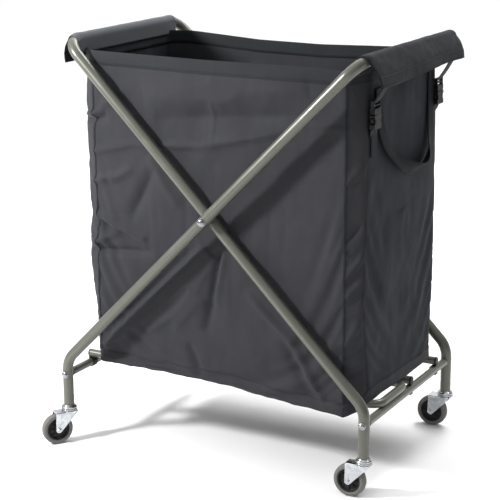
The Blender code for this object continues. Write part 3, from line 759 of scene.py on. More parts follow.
def frame_pieces(word, side_word, side, half_depth):
    body = f"{word}_frame"
    path = frame_path(side, half_depth)
    radius = np.full(len(path), TUBE_RADIUS)
    radius[[2, -3]] -= 0.0004
    shape = tube(Shape(), path, radius, TUBE_WALL, 32)
    piece(f"{word}_frame_bent_tube", shape, PAINT, body, [f"{word}_frame_tube"])

    end = half_depth - TUBE_RADIUS + 0.0006
    bar = Shape()
    tube(
        bar,
        [(side * LEG_X, y, CROSSBAR_Z) for y in (-end, -end + 0.004, 0, end - 0.004, end)],
        RAIL_RADIUS,
        RAIL_WALL,
        28,
    )
    for way in (-1, 1):
        weld = [
            (0, -0.0004), (RAIL_RADIUS + 0.0013, -0.0004), (RAIL_RADIUS + 0.0010, 0.0010),
            (RAIL_RADIUS + 0.0001, 0.0022), (0, 0.0022),
        ]
        turned(
            bar, softened(weld, 0.0004), 28, facing(-way, (side * LEG_X, way * (end - 0.0002), CROSSBAR_Z))
        )
    piece(f"{side_word}_cross_tube", bar, PAINT, body, [f"{side_word}_crossbar"])
    for place, way in (("front", -1), ("back", 1)):
        bolt = Shape()
        bolt_head(bolt, facing(way, (side * LEG_X, way * (half_depth + TUBE_RADIUS - 0.0002), CROSSBAR_Z)))
        stands_for = [f"{side_word}_crossbar_bolt_{place}"]
        piece(f"{side_word}_cross_bolt_{place}", bolt, BOLT_STEEL, body, stands_for)


def pivot_pieces():
    for place, way in (("front", -1), ("back", 1)):
        bolt = Shape()
        bolt_head(
            bolt,
            facing(way, (0, way * (OUTER_FRAME_Y + TUBE_RADIUS - 0.0002), PIVOT_Z)),
            0.0080,
            0.0052,
            0.0096,
        )
        nut_y = INNER_FRAME_Y - TUBE_RADIUS - 0.0003
        hexagon = [(0, 0), (0.0072, 0), (0.0072, 0.0050), (0.0064, 0.0058), (0, 0.0058)]
        turned(bolt, hexagon, 6, facing(-way, (0, way * nut_y, PIVOT_Z)))
        shank = [
            (0, 0), (0.0036, 0), (0.0036, OUTER_FRAME_Y - nut_y + 0.010), (0, OUTER_FRAME_Y - nut_y + 0.010)
        ]
        turned(bolt, shank, 20, facing(way, (0, way * (nut_y - 0.0064), PIVOT_Z)))
        stands_for = [f"pivot_bolt_{place}", f"pivot_nut_{place}"]
        piece(f"pivot_bolt_and_nut_{place}", bolt, BOLT_STEEL, "pivot", stands_for, 30)
        spacer = Shape()
        half = (OUTER_FRAME_Y - INNER_FRAME_Y) / 2 - TUBE_RADIUS
        ring = softened([(0.0039, -half), (0.0095, -half), (0.0095, half), (0.0039, half)], 0.0003)
        turned(
            spacer,
            ring,
            36,
            facing(way, (0, way * (OUTER_FRAME_Y + INNER_FRAME_Y) / 2, PIVOT_Z)),
            loop=True,
        )
        piece(f"pivot_spacer_{place}", spacer, PLASTIC, "pivot", [f"pivot_washer_{place}"])


# ---------------------------------------------------------------- base rails


def rail_pieces(word, side):
    body = f"{word}_base"
    depths = (side * RAIL_OUTER_Y, side * RAIL_INNER_Y)
    corners = [
        (side * RAIL_END_X, depths[0], RAIL_CLIP_Z),
        (-side * LEG_X, depths[0], RAIL_REST_Z),
        (-side * LEG_X, depths[1], RAIL_REST_Z),
        (side * RAIL_END_X, depths[1], RAIL_CLIP_Z),
    ]
    path = rounded_path(corners, (RAIL_BEND_RADIUS,) * 2, 14)
    rail = tube(Shape(), path, RAIL_RADIUS, RAIL_WALL, 28)
    piece(f"{word}_base_bent_rail", rail, PAINT, body, [f"{word}_base_rail"])
    for place, depth in (("outer", depths[0]), ("inner", depths[1])):
        clip = Shape()
        inner, outer = RAIL_RADIUS + 0.0003, RAIL_RADIUS + 0.0023
        centre = (side * LEG_X, CROSSBAR_Z)
        start, end = (66, 290) if side > 0 else (114, -110)
        outline = list(arc(centre, outer, start, end, 26)) + list(arc(centre, inner, end, start, 26))
        prism(clip, outline, depth - 0.0078, depth + 0.0078)
        cap = [
            (0, 0.0001),
            (RAIL_RADIUS + 0.0002, 0.0001),
            (RAIL_RADIUS + 0.0002, 0.0026),
            (RAIL_RADIUS - 0.001, 0.0040),
        ]
        turn = Matrix.Rotation(math.pi / 2 * side, 4, "Y")
        at = Matrix.Translation((side * RAIL_END_X, depth, RAIL_CLIP_Z))
        turned(clip, softened(cap + [(0, 0.0040)], 0.0006), 32, at @ turn)
        x = (side * (RAIL_END_X + 0.0004), side * (RAIL_END_X + 0.0036))
        block(clip, x, (depth - 0.0060, depth + 0.0060), (CROSSBAR_Z + outer - 0.0012, RAIL_CLIP_Z - 0.002))
        hook_end = list(arc(centre, outer, end, end, 1))[0]
        lip = list(arc(hook_end, 0.0015, 0, 340, 14))
        prism(clip, lip, depth - 0.0078, depth + 0.0078)
        stands_for = [f"{word}_base_clip_{place}"]
        piece(f"{word}_base_hook_{place}", clip, PLASTIC, body, stands_for, 35, 0.0005)


# ---------------------------------------------------------------- casters


def fork_sheet(shape):
    """One bent plate: a crown with a tapered cheek down each side. It trails along +X."""
    boss = 0.0076
    low = [(-0.0165, CROWN_BOTTOM_Z - 0.0016)]
    low += list(arc((CASTER_TRAIL, WHEEL_RADIUS), boss, 218, 356, 22))
    low = spaced([(a, b) for a, b in low], 0.0016)[0]
    share = np.linspace(0, 1, len(low))
    top_x = -0.0165 + share * (0.0385 + 0.0165)
    half_in, half_out = FORK_INNER_Y, FORK_INNER_Y + FORK_PLATE
    bend = 0.0030
    rings = []
    for (low_x, low_z), high_x in zip(low, top_x):
        inner, outer = [], []
        shoulder = CROWN_TOP_Z - bend
        for t in np.linspace(0, 1, 7):
            x, z = low_x + (high_x - low_x) * t, low_z + (shoulder - low_z) * t
            press = 0.0007 * math.sin(math.pi * min(1, t * 1.15)) ** 2
            outer.append((x, half_out - press, z))
            inner.append((x, half_in - press, z))
        for angle in np.linspace(0, math.pi / 2, 6)[1:]:
            outer.append(
                (high_x, half_out - bend + bend * math.cos(angle), shoulder + bend * math.sin(angle))
            )
            slim = bend - FORK_PLATE
            inner.append(
                (high_x, half_in - slim + slim * math.cos(angle), shoulder + slim * math.sin(angle))
            )
        full_outer = outer + [(x, -y, z) for x, y, z in outer[::-1]]
        full_inner = inner + [(x, -y, z) for x, y, z in inner[::-1]]
        rings.append(full_outer + full_inner[::-1])
    n = len(rings[0])
    faces = quads(len(rings), n, wrap=True)
    half = n // 2
    for start in (0, (len(rings) - 1) * n):
        for k in range(half - 1):
            faces.append((start + k, start + k + 1, start + n - 2 - k, start + n - 1 - k))
    shape.add(np.array(rings), faces)


def along_y(at=(0, 0, 0)):
    return Matrix.Translation(at) @ Matrix.Rotation(-math.pi / 2, 4, "X")


def caster_pieces(place_word, side_word, place, trail_angle):
    name = f"caster_{place_word}_{side_word}"
    stem_body = "outer_frame" if side_word == "left" else "inner_frame"
    swivel, wheel = f"{place_word}_{side_word}_swivel", f"{place_word}_{side_word}_wheel"
    stand = Matrix.Translation((*place, 0))
    trail = stand @ Matrix.Rotation(math.radians(trail_angle), 4, "Z")

    stem = Shape()
    z = CROWN_TOP_Z
    cup = [
        (0, z + 0.0004), (0.0176, z + 0.0004), (0.0188, z + 0.0012), (0.0188, z + 0.0034),
        (0.0166, z + 0.0044), (0.0166, z + 0.0054), (0.0189, z + 0.0062), (0.0189, z + 0.0084),
        (0.0172, z + 0.0106), (0.0148, z + 0.0122), (0.0138, z + 0.0140), (0.0110, z + 0.0146),
        (0.0108, z + 0.0300), (0, z + 0.0300),
    ]
    turned(stem, softened(cup, 0.0006), 48, stand)
    pin = [
        (0, CROWN_BOTTOM_Z - 0.0034), (0.0050, CROWN_BOTTOM_Z - 0.0034), (0.0076, CROWN_BOTTOM_Z - 0.0016)
    ]
    turned(stem, pin + [(0.0076, CROWN_BOTTOM_Z - 0.0004), (0, CROWN_BOTTOM_Z - 0.0004)], 32, stand)
    piece(f"{name}_bearing_cup", stem, CHROME, stem_body, [f"{name}_stem"], 30)

    fork = Shape()
    fork_sheet(fork)
    crown = [
        (0.0052, CROWN_BOTTOM_Z),
        (0.0188, CROWN_BOTTOM_Z),
        (0.0188, CROWN_TOP_Z - 0.0002),
        (0.0052, CROWN_TOP_Z - 0.0002),
    ]
    turned(fork, softened(crown, 0.0005), 48, loop=True)
    for way in (-1, 1):
        boss = [(0, 0), (0.0066, 0), (0.0060, 0.0006), (0, 0.0006)]
        turned(
            fork,
            boss,
            32,
            facing(way, (CASTER_TRAIL, way * (FORK_INNER_Y + FORK_PLATE - 0.0002), WHEEL_RADIUS)),
        )
    piece(
        f"{name}_pressed_fork", fork.moved(trail), ZINC, swivel, [f"{name}_fork"], 38,
        0.0004, 2,
    )

    axle = Shape()
    half = FORK_INNER_Y + FORK_PLATE + 0.0003
    head = [
        (0, half), (0.0046, half), (0.0046, half + 0.0012), (0.0036, half + 0.0026),
        (0.0016, half + 0.0034), (0, half + 0.0034),
    ]
    turned(axle, softened(head, 0.0004), 32, along_y((CASTER_TRAIL, 0, WHEEL_RADIUS)))
    nut = [(0, half), (0.0058, half), (0.0058, half + 0.0024), (0.0050, half + 0.0032), (0, half + 0.0032)]
    turned(
        axle,
        nut,
        6,
        Matrix.Translation((CASTER_TRAIL, 0, WHEEL_RADIUS)) @ Matrix.Rotation(math.pi / 2, 4, "X"),
    )
    turned(
        axle,
        [(0, -half), (0.0038, -half), (0.0038, half), (0, half)],
        24,
        along_y((CASTER_TRAIL, 0, WHEEL_RADIUS)),
    )
    piece(f"{name}_axle_bolt", axle.moved(trail), ZINC, swivel, [f"{name}_axle"], 30)

    hub = Shape()
    rim = TYRE_INNER_RADIUS - 0.0002
    side = [
        (0.0043, 0.0116), (0.0078, 0.0116), (0.0092, 0.0104), (0.0098, 0.0052), (0.0208, 0.0044),
        (0.0226, 0.0062), (0.0236, 0.0090), (rim, 0.0092),
    ]
    profile = side + [(r, -h) for r, h in side[::-1]]
    turned(hub, softened(profile, 0.0008), 56, along_y((CASTER_TRAIL, 0, WHEEL_RADIUS)), loop=True)
    for k in range(8):
        for way in (-1, 1):
            rib = Shape()
            block(rib, (0.0088, 0.0226), (-0.0009, 0.0009), (0.0036 * way, 0.0074 * way))
            spin = along_y((CASTER_TRAIL, 0, WHEEL_RADIUS)) @ Matrix.Rotation(math.pi / 4 * k, 4, "Z")
            rib.moved(spin)
            hub.add(rib.points, rib.faces)
    piece(f"{name}_moulded_hub", hub.moved(trail), HUB_PLASTIC, wheel, [f"{name}_hub"], 35)

    tyre = Shape()
    section = [
        (TYRE_INNER_RADIUS, 0.0090), (0.0288, 0.0100), (0.0318, 0.0101), (0.0322, 0.0096),
        (0.0344, 0.0094), (0.0362, 0.0080), (0.0371, 0.0058), (0.0375, 0.0022),
    ]
    profile = section + [(r, -h) for r, h in section[::-1]]
    turned(tyre, softened(profile, 0.0012, 4), 72, along_y((CASTER_TRAIL, 0, WHEEL_RADIUS)), loop=True)
    piece(f"{name}_ring_tyre", tyre.moved(trail), RUBBER, wheel, [f"{name}_tyre"], 50)


# ---------------------------------------------------------------- the sewn bag

BAG_ROWS = 132
# columns on the front, corner, right, corner, back, corner, left, corner
LEGS = (116, 8, 46, 8, 82, 8, 46, 8)


def sampled(table, at):
    """Values between the (place, value) pairs of a table."""
    places, values = zip(*table)
    return np.interp(at, places, values)


def bag_outline():
    """Plan position of every column, as (face, share along it), anticlockwise from the front left."""
    return [(leg, k / count) for leg, count in enumerate(LEGS) for k in range(count)]


def corner_depth(z):
    return sampled([(0.17, 0.176), (0.20, 0.179), (0.444, 0.204), (0.806, 0.189), (0.94, 0.180)], z)


def bag_base():
    """The bag's surface before it hangs: rows go up, columns go round."""
    columns = bag_outline()
    n = len(columns)
    grid = np.zeros((BAG_ROWS, n, 3))
    front_hem = [
        (-0.345, 0.2008), (-0.068, 0.1992), (0.03, 0.1945), (0.112, 0.1875), (0.22, 0.1790),
        (0.319, 0.1695), (0.357, 0.187),
    ]
    back_hem = [
        (-0.357, 0.196), (-0.2, 0.192), (0.05, 0.193), (0.22, 0.183), (0.319, 0.172), (0.357, 0.186)
    ]
    side_hem = [
        (-0.20, 0.188), (-0.172, 0.198), (-0.12, 0.2045), (0.0, 0.2055), (0.12, 0.2045), (0.172, 0.198),
        (0.20, 0.188),
    ]
    front_top = [
        (-0.357, 0.9415), (-0.30, 0.9400), (-0.03, 0.9365), (0.21, 0.9368), (0.317, 0.9345), (0.357, 0.9385)
    ]
    back_top = [
        (-0.357, 0.9400), (-0.287, 0.9365), (-0.12, 0.9260), (0.05, 0.9240), (0.24, 0.9300), (0.357, 0.9390)
    ]
    for k, (leg, share) in enumerate(columns):
        up = np.linspace(0, 1, BAG_ROWS)
        rough_z = 0.2 + 0.737 * up
        depth = corner_depth(rough_z)
        left = -(0.3445 + 0.0145 * np.clip((rough_z - 0.2415) / 0.629, -0.1, 1.1))
        right = np.full(BAG_ROWS, BAG_HALF_X)
        corners = {
            0: ((np.full(BAG_ROWS, -SEAM_X), -BAG_HALF_Y), (np.full(BAG_ROWS, SEAM_X), -BAG_HALF_Y)),
            1: ((np.full(BAG_ROWS, SEAM_X), -BAG_HALF_Y), (right, -depth)),
            2: ((right, -depth), (right, depth)),
            3: ((right, depth), (np.full(BAG_ROWS, SEAM_X), BAG_HALF_Y)),
            4: ((np.full(BAG_ROWS, SEAM_X), BAG_HALF_Y), (np.full(BAG_ROWS, -SEAM_X), BAG_HALF_Y)),
            5: ((np.full(BAG_ROWS, -SEAM_X), BAG_HALF_Y), (left, depth)),
            6: ((left, depth), (left, -depth)),
            7: ((left, -depth), (np.full(BAG_ROWS, -SEAM_X), -BAG_HALF_Y)),
        }
        (x0, y0), (x1, y1) = corners[leg]
        x, y = x0 + (x1 - x0) * share, y0 + (y1 - y0) * share
        if leg in (0, 1, 7):
            low, high = sampled(front_hem, x[0]), sampled(front_top, x[-1])
        elif leg in (3, 4, 5):
            low, high = sampled(back_hem, x[0]), sampled(back_top, x[-1])
        else:
            low, high = sampled(side_hem, y[0]), 0.9385
        z = low + (high - low) * up
        if leg == 2:
            bulge = sampled(
                [(-0.19, 0.0), (-0.15, 0.008), (-0.10, 0.012), (0.0, 0.0175), (0.12, 0.016), (0.19, 0.004)],
                y[0],
            )
            x = x + bulge * np.clip(1 - (z - 0.2) / 0.22, 0, 1) ** 1.6
        grid[:, k] = np.stack([x, y + 0 * x, z], axis=1)
    for _ in range(3):  # soften the upright corners
        soft = (np.roll(grid, 1, axis=1) + grid * 2 + np.roll(grid, -1, axis=1)) / 4
        grid[..., :2] = soft[..., :2]
    return grid, columns


def normals_of(grid):
    round_it = np.roll(grid, -1, axis=1) - np.roll(grid, 1, axis=1)
    up = np.gradient(grid, axis=0)
    return unit(np.cross(round_it, up))


def flat_coordinates(grid):
    """Cloth coordinates in metres, round the bag and up it."""
    middle = grid[len(grid) // 2]
    run = np.linalg.norm(np.diff(middle, axis=0, append=middle[:1]), axis=1)
    round_it = np.concatenate([[0], np.cumsum(run)[:-1]])
    rise = np.concatenate([[0], np.cumsum(np.linalg.norm(np.diff(grid[:, 0], axis=0), axis=1))])
    return round_it, rise


def hang(grid, held, frames=26):
    """Cloth simulation of the bag's wall, a little slack, held at its hems and seams."""
    rows, n, _ = grid.shape
    mesh = bpy.data.meshes.new("hanging")
    mesh.from_pydata([tuple(p) for p in grid.reshape(-1, 3)], [], quads(rows, n, wrap=True))
    cloth = bpy.data.objects.new("hanging", mesh)
    bpy.context.scene.collection.objects.link(cloth)
    group = cloth.vertex_groups.new(name="held")
    for i, weight in enumerate(held.reshape(-1)):
        if weight > 0.01:
            group.add([i], float(weight), "REPLACE")
    settings = cloth.modifiers.new("cloth", "CLOTH").settings
    settings.quality = 6
    settings.mass = 0.22
    settings.tension_stiffness = settings.compression_stiffness = 18
    settings.shear_stiffness = 6
    settings.bending_stiffness = 0.25
    settings.vertex_group_mass = "held"
    settings.pin_stiffness = 1.0
    settings.shrink_min = -0.016
    settings.use_pressure = True
    settings.uniform_pressure_force = 0.35
    scene = bpy.context.scene
    scene.frame_start, scene.frame_end = 1, frames
    for number in range(1, frames + 1):
        scene.frame_set(number)
    shown = cloth.evaluated_get(bpy.context.evaluated_depsgraph_get())
    made = np.zeros(rows * n * 3)
    shown.data.vertices.foreach_get("co", made)
    scene.frame_set(1)
    bpy.data.objects.remove(cloth)
    return made.reshape(rows, n, 3)


# Folds: ends as (x, z) on the front, half width at each end, height out of the panel
FRONT_FOLDS = (
    (-0.352, 0.790, -0.288, 0.803, 0.006, 0.008, 0.0050),
    (-0.352, 0.777, -0.280, 0.791, 0.007, 0.009, -0.0045),
    (-0.325, 0.709, -0.206, 0.735, 0.007, 0.006, 0.0042),
    (-0.215, 0.734, -0.023, 0.745, 0.006, 0.005, 0.0034),
    (-0.033, 0.746, 0.195, 0.802, 0.008, 0.011, 0.0046),
    (-0.180, 0.845, 0.230, 0.890, 0.032, 0.036, 0.0050),
    (-0.150, 0.800, 0.240, 0.832, 0.024, 0.026, -0.0060),
    (-0.322, 0.563, -0.180, 0.514, 0.008, 0.006, 0.0072),
    (-0.330, 0.545, -0.190, 0.496, 0.010, 0.008, -0.0050),
    (-0.340, 0.472, -0.165, 0.487, 0.008, 0.009, -0.0058),
    (-0.340, 0.483, -0.260, 0.524, 0.007, 0.009, 0.0046),
    (-0.310, 0.236, -0.010, 0.505, 0.009, 0.024, 0.0120),
    (-0.310, 0.262, -0.040, 0.525, 0.009, 0.017, -0.0070),
    (-0.005, 0.905, -0.007, 0.735, 0.003, 0.003, 0.0014),
    (0.016, 0.515, -0.028, 0.310, 0.005, 0.014, -0.0060),
    (0.026, 0.515, -0.004, 0.380, 0.005, 0.010, 0.0045),
    (-0.010, 0.500, -0.110, 0.300, 0.006, 0.018, 0.0040),
    (0.075, 0.425, 0.200, 0.320, 0.007, 0.009, 0.0048),
    (0.185, 0.335, 0.275, 0.190, 0.009, 0.008, 0.0048),
    (0.170, 0.320, 0.240, 0.200, 0.012, 0.012, -0.0036),
    (-0.160, 0.680, -0.225, 0.555, 0.012, 0.014, -0.0046),
    (-0.095, 0.600, -0.172, 0.712, 0.014, 0.014, 0.0036),
    (-0.075, 0.285, -0.040, 0.205, 0.008, 0.010, -0.0036),
    (-0.190, 0.290, -0.030, 0.395, 0.010, 0.013, 0.0036),
    (-0.280, 0.643, -0.215, 0.677, 0.008, 0.009, 0.0034),
    (-0.340, 0.632, -0.265, 0.657, 0.007, 0.009, 0.0034),
    (-0.300, 0.815, -0.235, 0.850, 0.010, 0.012, 0.0028),
    (0.200, 0.814, 0.330, 0.811, 0.004, 0.004, 0.0016),
    (0.316, 0.480, 0.352, 0.534, 0.006, 0.007, 0.0026),
    (0.316, 0.436, 0.352, 0.482, 0.006, 0.007, 0.0026),
    (0.316, 0.560, 0.352, 0.610, 0.006, 0.007, -0.0024),
    (0.316, 0.330, 0.352, 0.392, 0.007, 0.007, 0.0026),
    (0.316, 0.690, 0.352, 0.735, 0.006, 0.008, 0.0022),
)


# Dents down the left edge: height, half width and depth
LEFT_DENTS = (
    (0.885, 0.030, 0.0030),
    (0.796, 0.010, 0.0032),
    (0.760, 0.018, -0.0012),
    (0.690, 0.010, 0.0022),
    (0.556, 0.012, 0.0032),
    (0.520, 0.012, -0.0012),
    (0.478, 0.010, 0.0022),
    (0.330, 0.022, 0.0026),
)


def fold_shape(x, z, folds):
    """How far a set of folds lifts each point of a panel."""
    total = np.zeros(x.shape)
    for x0, z0, x1, z1, start_width, end_width, tall in folds:
        run = np.array([x1 - x0, z1 - z0])
        length = np.linalg.norm(run)
        run /= length
        along = ((x - x0) * run[0] + (z - z0) * run[1]) / length
        off = (x - x0) * -run[1] + (z - z0) * run[0]
        inside = np.clip(along, 0, 1)
        width = start_width + (end_width - start_width) * inside
        ends = np.sin(inside * math.pi) ** 0.5
        total += tall * ends * np.exp(-(np.abs(off / width) ** 1.5))
    return total


def add_creases(grid, normals, columns):
    """Pressed and hanging folds on the front panel."""
    mask = np.array([1.0 if leg in (0, 1, 7) else 0.0 for leg, _ in columns])
    lift = 2.4 * fold_shape(grid[..., 0], grid[..., 2], FRONT_FOLDS)
    return grid + normals * (lift * mask)[..., None]


def ripple(points, scale, amount, seed):
    """Smooth noise for a set of points, the same on every run."""
    flat = points.reshape(-1, 3)
    made = [
        noise.fractal(Vector((p[0] * scale + seed, p[1] * scale, p[2] * scale * 0.7)), 1.0, 2.0, 3)
        for p in flat
    ]
    return (np.array(made) * amount).reshape(points.shape[:-1])


def bag_surface():
    base, columns = bag_base()
    rows, n, _ = base.shape
    normals = normals_of(base)
    up = np.linspace(0, 1, rows)[:, None]
    seam = np.zeros(n)
    seam[np.cumsum((0,) + LEGS[:-1])] = 1.0
    held = np.zeros((rows, n))
    held += seam[None] * 0.55
    held[-4:] = np.maximum(held[-4:], np.array([0.5, 0.8, 1, 1])[:, None])
    held[:2] = np.maximum(held[:2], np.array([1, 0.6])[:, None])
    hung = hang(base, np.clip(held, 0, 1))
    move = hung - base
    out = np.sum(move * normals, axis=-1)
    slide = move - normals * out[..., None]
    long = np.maximum(np.linalg.norm(slide, axis=-1, keepdims=True), 1e-9)
    slide *= np.minimum(long, 0.006) / long
    out = np.where(out > 0, 0.0050 * np.tanh(out / 0.0050), 0.011 * np.tanh(out / 0.011))
    out *= 1 - 0.95 * np.clip((up - 0.48) / 0.22, 0, 1)
    out *= np.array([0.45 if leg in (2, 6) else 0.8 for leg, _ in columns])
    grid = base + slide + normals * out[..., None]
    loose = np.clip(np.minimum(up / 0.06, (1 - up) / 0.08), 0, 1)
    grid = grid + normals * (ripple(base, 9.0, 0.0035, 3.1) * loose)[..., None]
    grid = grid + normals * (ripple(base, 30.0, 0.0010, 7.7) * loose)[..., None]
    grid = add_creases(grid, normals, columns)
    leftmost = np.clip((-0.31 - base[..., 0]) / 0.04, 0, 1)
    for z, half, deep in LEFT_DENTS:
        grid[..., 0] += deep * leftmost * np.exp(-(((grid[..., 2] - z) / half) ** 2))
    wave = ripple(base * (1, 1, 0), 16.0, 0.0035, 5.0) * np.clip(1 - up / 0.08, 0, 1)
    grid[..., 2] += np.where(np.abs(grid[..., 1]) > 0.19, wave, 0)
    # flatter where the pivot nuts pass as the cart folds
    room = 0.2250 + 0.0018 * np.clip((np.abs(grid[..., 0]) - 0.030) / 0.035, 0, 1)
    grid[..., 1] = np.clip(grid[..., 1], -room, room)
    above = grid[..., 2] > 0.60
    limit = np.where(above, 0.3588, 0.3765)
    grid[..., 0] = np.clip(grid[..., 0], -np.where(above, 0.3592, 0.3620), limit)
    return grid, columns


def fold(made):
    """Gives the piece its own copy of its mesh."""
    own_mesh(made)
    return made


def thicken(made, thickness, offset=0.0):
    wall = made.modifiers.new("cloth thickness", "SOLIDIFY")
    wall.thickness = thickness
    wall.offset = offset
    wall.use_even_offset = False
    return made


def bag_pieces():
    grid, columns = bag_surface()
    rows, n, _ = grid.shape
    normals = normals_of(grid)
    round_it, rise = flat_coordinates(grid)
    starts = [columns.index((leg, 0.0)) for leg in range(8)]

    wall = Shape()
    # the flat coordinate runs on past the last column, so the first column is repeated there
    wide = np.concatenate([grid, grid[:, :1]], axis=1)
    whole = np.append(round_it, round_it[-1] + np.linalg.norm(grid[rows // 2, 0] - grid[rows // 2, -1]))
    flat = [(whole[k], rise[i]) for i in range(rows) for k in range(n + 1)]
    wall.add(wide, quads(rows, n + 1), flat)
    panels = [columns[k][0] for _ in range(rows - 1) for k in range(n)]
    made = piece(
        "bag_wall",
        wall,
        BAG_CLOTH,
        "bag",
        ("bag_front", "bag_back", "bag_left", "bag_right"),
        180,
    )
    # The side panels take the darker side cloth: painted shade on the sides.
    made.data.materials.append(SHADED_SIDE_CLOTH)
    for face, leg in zip(made.data.polygons, panels):
        face.material_index = int(leg in (2, 6))
    weld = made.modifiers.new("closed round", "WELD")
    weld.merge_threshold = 0.00002
    thicken(made, CLOTH)
    fold(made)

    def on_bag(height, k, lift):
        """A point on column k at a height in metres above the bottom hem, lifted off the cloth."""
        row = np.clip(height / BAG_RISE * (rows - 1), 0, rows - 1)
        i = min(int(row), rows - 2)
        t = row - i
        p = grid[i, k] * (1 - t) + grid[i + 1, k] * t
        return p + unit(normals[i, k] * (1 - t) + normals[i + 1, k] * t) * lift

    def hem_band(name, height, sign):
        """A turned hem: down the outside, round the edge and back up the inside."""
        lift = CLOTH / 2 + 0.0006
        profile = [
            (0.030, lift), (0.0295, lift + 0.0004), (0.020, lift), (0.010, lift), (0.003, lift),
            (0.0003, lift * 0.7), (-0.0009, 0.0), (0.0003, -lift * 0.7), (0.003, -lift), (0.012, -lift),
            (0.022, -lift), (0.030, -lift),
        ]
        points, flat = [], []
        for row, (back, out) in enumerate(profile):
            for k in range(n + 1):
                column = k % n
                p = on_bag(height - sign * max(back, 0.0), column, out)
                if back < 0:
                    p = p + np.array((0, 0, sign * -back))
                points.append(p)
                flat.append((whole[k], 0.02 * row))
        shape = Shape().add(points, quads(len(profile), n + 1), flat)
        # The top hem takes the darker hem cloth, painted shade; the bottom hem takes the plain bag cloth.
        cloth = SHADED_HEM_CLOTH if sign > 0 else BAG_CLOTH
        band = piece(name, shape, cloth, "bag", (), 60)
        return fold(thicken(band, HEM_CLOTH_THICKNESS))

    hem_band("bag_top_hem", BAG_RISE, 1)
    hem_band("bag_bottom_hem", 0.0, -1)

    sewing = Shape()
    seam_lines = Shape()
    for height in (BAG_RISE - 0.0275, BAG_RISE - 0.0245, 0.0275):
        line = np.array([on_bag(height, k % n, CLOTH / 2 + 0.0012) for k in range(n + 1)])
        ways = np.array(
            [normals[min(int(height / BAG_RISE * (rows - 1)), rows - 1), k % n] for k in range(n + 1)]
        )
        stitches(sewing, line, ways)
    for leg in (0, 1, 4, 5):
        heights = np.linspace(0.004, 0.712, 150)
        for shift in (-1, 0, 1):
            k = (starts[leg] + shift) % n
            ways = np.array([normals[min(int(h / BAG_RISE * (rows - 1)), rows - 1), k] for h in heights])
            if shift:
                line = np.array([on_bag(h, starts[leg] % n, CLOTH / 2 + 0.0010) for h in heights])
                side = unit(np.cross(np.gradient(line, axis=0), ways))
                if shift == 1:
                    stitches(sewing, line + side * 0.0042, ways)
            else:
                line = np.array([on_bag(h, k, CLOTH / 2 + 0.0002) for h in heights])
                across = unit(np.cross(np.gradient(line, axis=0), ways))
                strap(seam_lines, line, 0.0045, 0.0011, across)
    fold(piece("bag_stitching", sewing, THREAD, "bag", (), 60))
    # The corner seam strips reuse the darker side cloth for a dark seam line.
    fold(piece("bag_corner_seams", seam_lines, SHADED_SIDE_CLOTH, "bag", (), 60))
    return grid


def floor_piece():
    """The bag's floor lies on the base rails and droops to the hems beyond them."""
    xs, ys = np.linspace(-1, 1, 91), np.linspace(-1, 1, 57)
    points, flat = [], []
    for b in ys:
        for a in xs:
            x = a * 0.3485
            reach = sampled([(-0.349, 0.168), (-0.312, 0.2150), (0.312, 0.2150), (0.349, 0.168)], x)
            y = b * reach
            x -= 0.004 * a * abs(b) ** 6
            beyond = max(0.0, abs(y) - 0.178) / 0.037
            between = min(abs(abs(y) - RAIL_OUTER_Y), abs(abs(y) - RAIL_INNER_Y)) / 0.076
            sag = 0.0016 * min(1, between) ** 2 * 2
            droop = beyond**1.5 * sampled([(-0.35, 0.0005), (0.0, 0.006), (0.32, 0.026), (0.35, 0.012)], x)
            wobble = 0.0012 * noise.noise(Vector((x * 22, y * 22, 4.4)))
            points.append((x, y, 0.2056 - sag * 0.4 - droop + abs(wobble)))
            flat.append((x, y))
    shape = Shape().add(points, quads(len(ys), len(xs)), flat)
    made = piece("bag_floor_sheet", shape, BAG_CLOTH, "bag_base", ["bag_floor"], 180)
    fold(thicken(made, 0.0014))


# ---------------------------------------------------------------- flaps and webbing


def bar_centre(y, half_depth):
    """Where a top bar's middle is at a depth, and how much wider its cut is there."""
    beyond = abs(y) - (half_depth - BAR_BEND_RADIUS)
    if beyond <= 0:
        return BAR_X, BAR_Z, 1.0
    angle = math.asin(min(0.85, beyond / BAR_BEND_RADIUS))
    drop = BAR_BEND_RADIUS * (1 - math.cos(angle))
    slope = math.atan2(BAR_Z - PIVOT_Z, BAR_X)
    return BAR_X - drop * math.cos(slope), BAR_Z - drop * math.sin(slope), 1 / math.cos(angle)


def flap_point(s, y, half_depth):
    """A point on the sheet over a top bar. s runs from the inner edge over the bar to the outer hem."""
    x, z, wider = bar_centre(y, half_depth)
    radius = TUBE_RADIUS + 0.0011
    slope = math.atan2(BAR_Z - PIVOT_Z, BAR_X)
    arc_long = radius * math.radians(180 - FLAP_LEAVES_BAR)
    if s < FLAP_INNER_DROP:
        return np.array((BAR_X - radius, y, BAR_Z - FLAP_INNER_DROP + s))
    if s < FLAP_INNER_DROP + arc_long:
        angle = math.pi - (s - FLAP_INNER_DROP) / radius
        dx, dz = radius * math.cos(angle), radius * math.sin(angle)
        along = dx * math.cos(slope) + dz * math.sin(slope)
        grow = along * (wider - 1)
        return np.array((x + dx + grow * math.cos(slope), y, z + dz + grow * math.sin(slope)))
    angle = math.radians(FLAP_LEAVES_BAR)
    start = np.array((x + radius * math.cos(angle) * wider**0.5, y, z + radius * math.sin(angle)))
    t = (s - FLAP_INNER_DROP - arc_long) / FLAP_LOOSE
    end = np.array((FLAP_EDGE_X, y, FLAP_EDGE_Z + 0.004 * math.sin(y * 9.0)))
    p = start + (end - start) * t
    p[0] += 0.0050 * math.sin(math.pi * t) + 0.0016 * t * math.sin(y * 31.0 + 0.6)
    return p


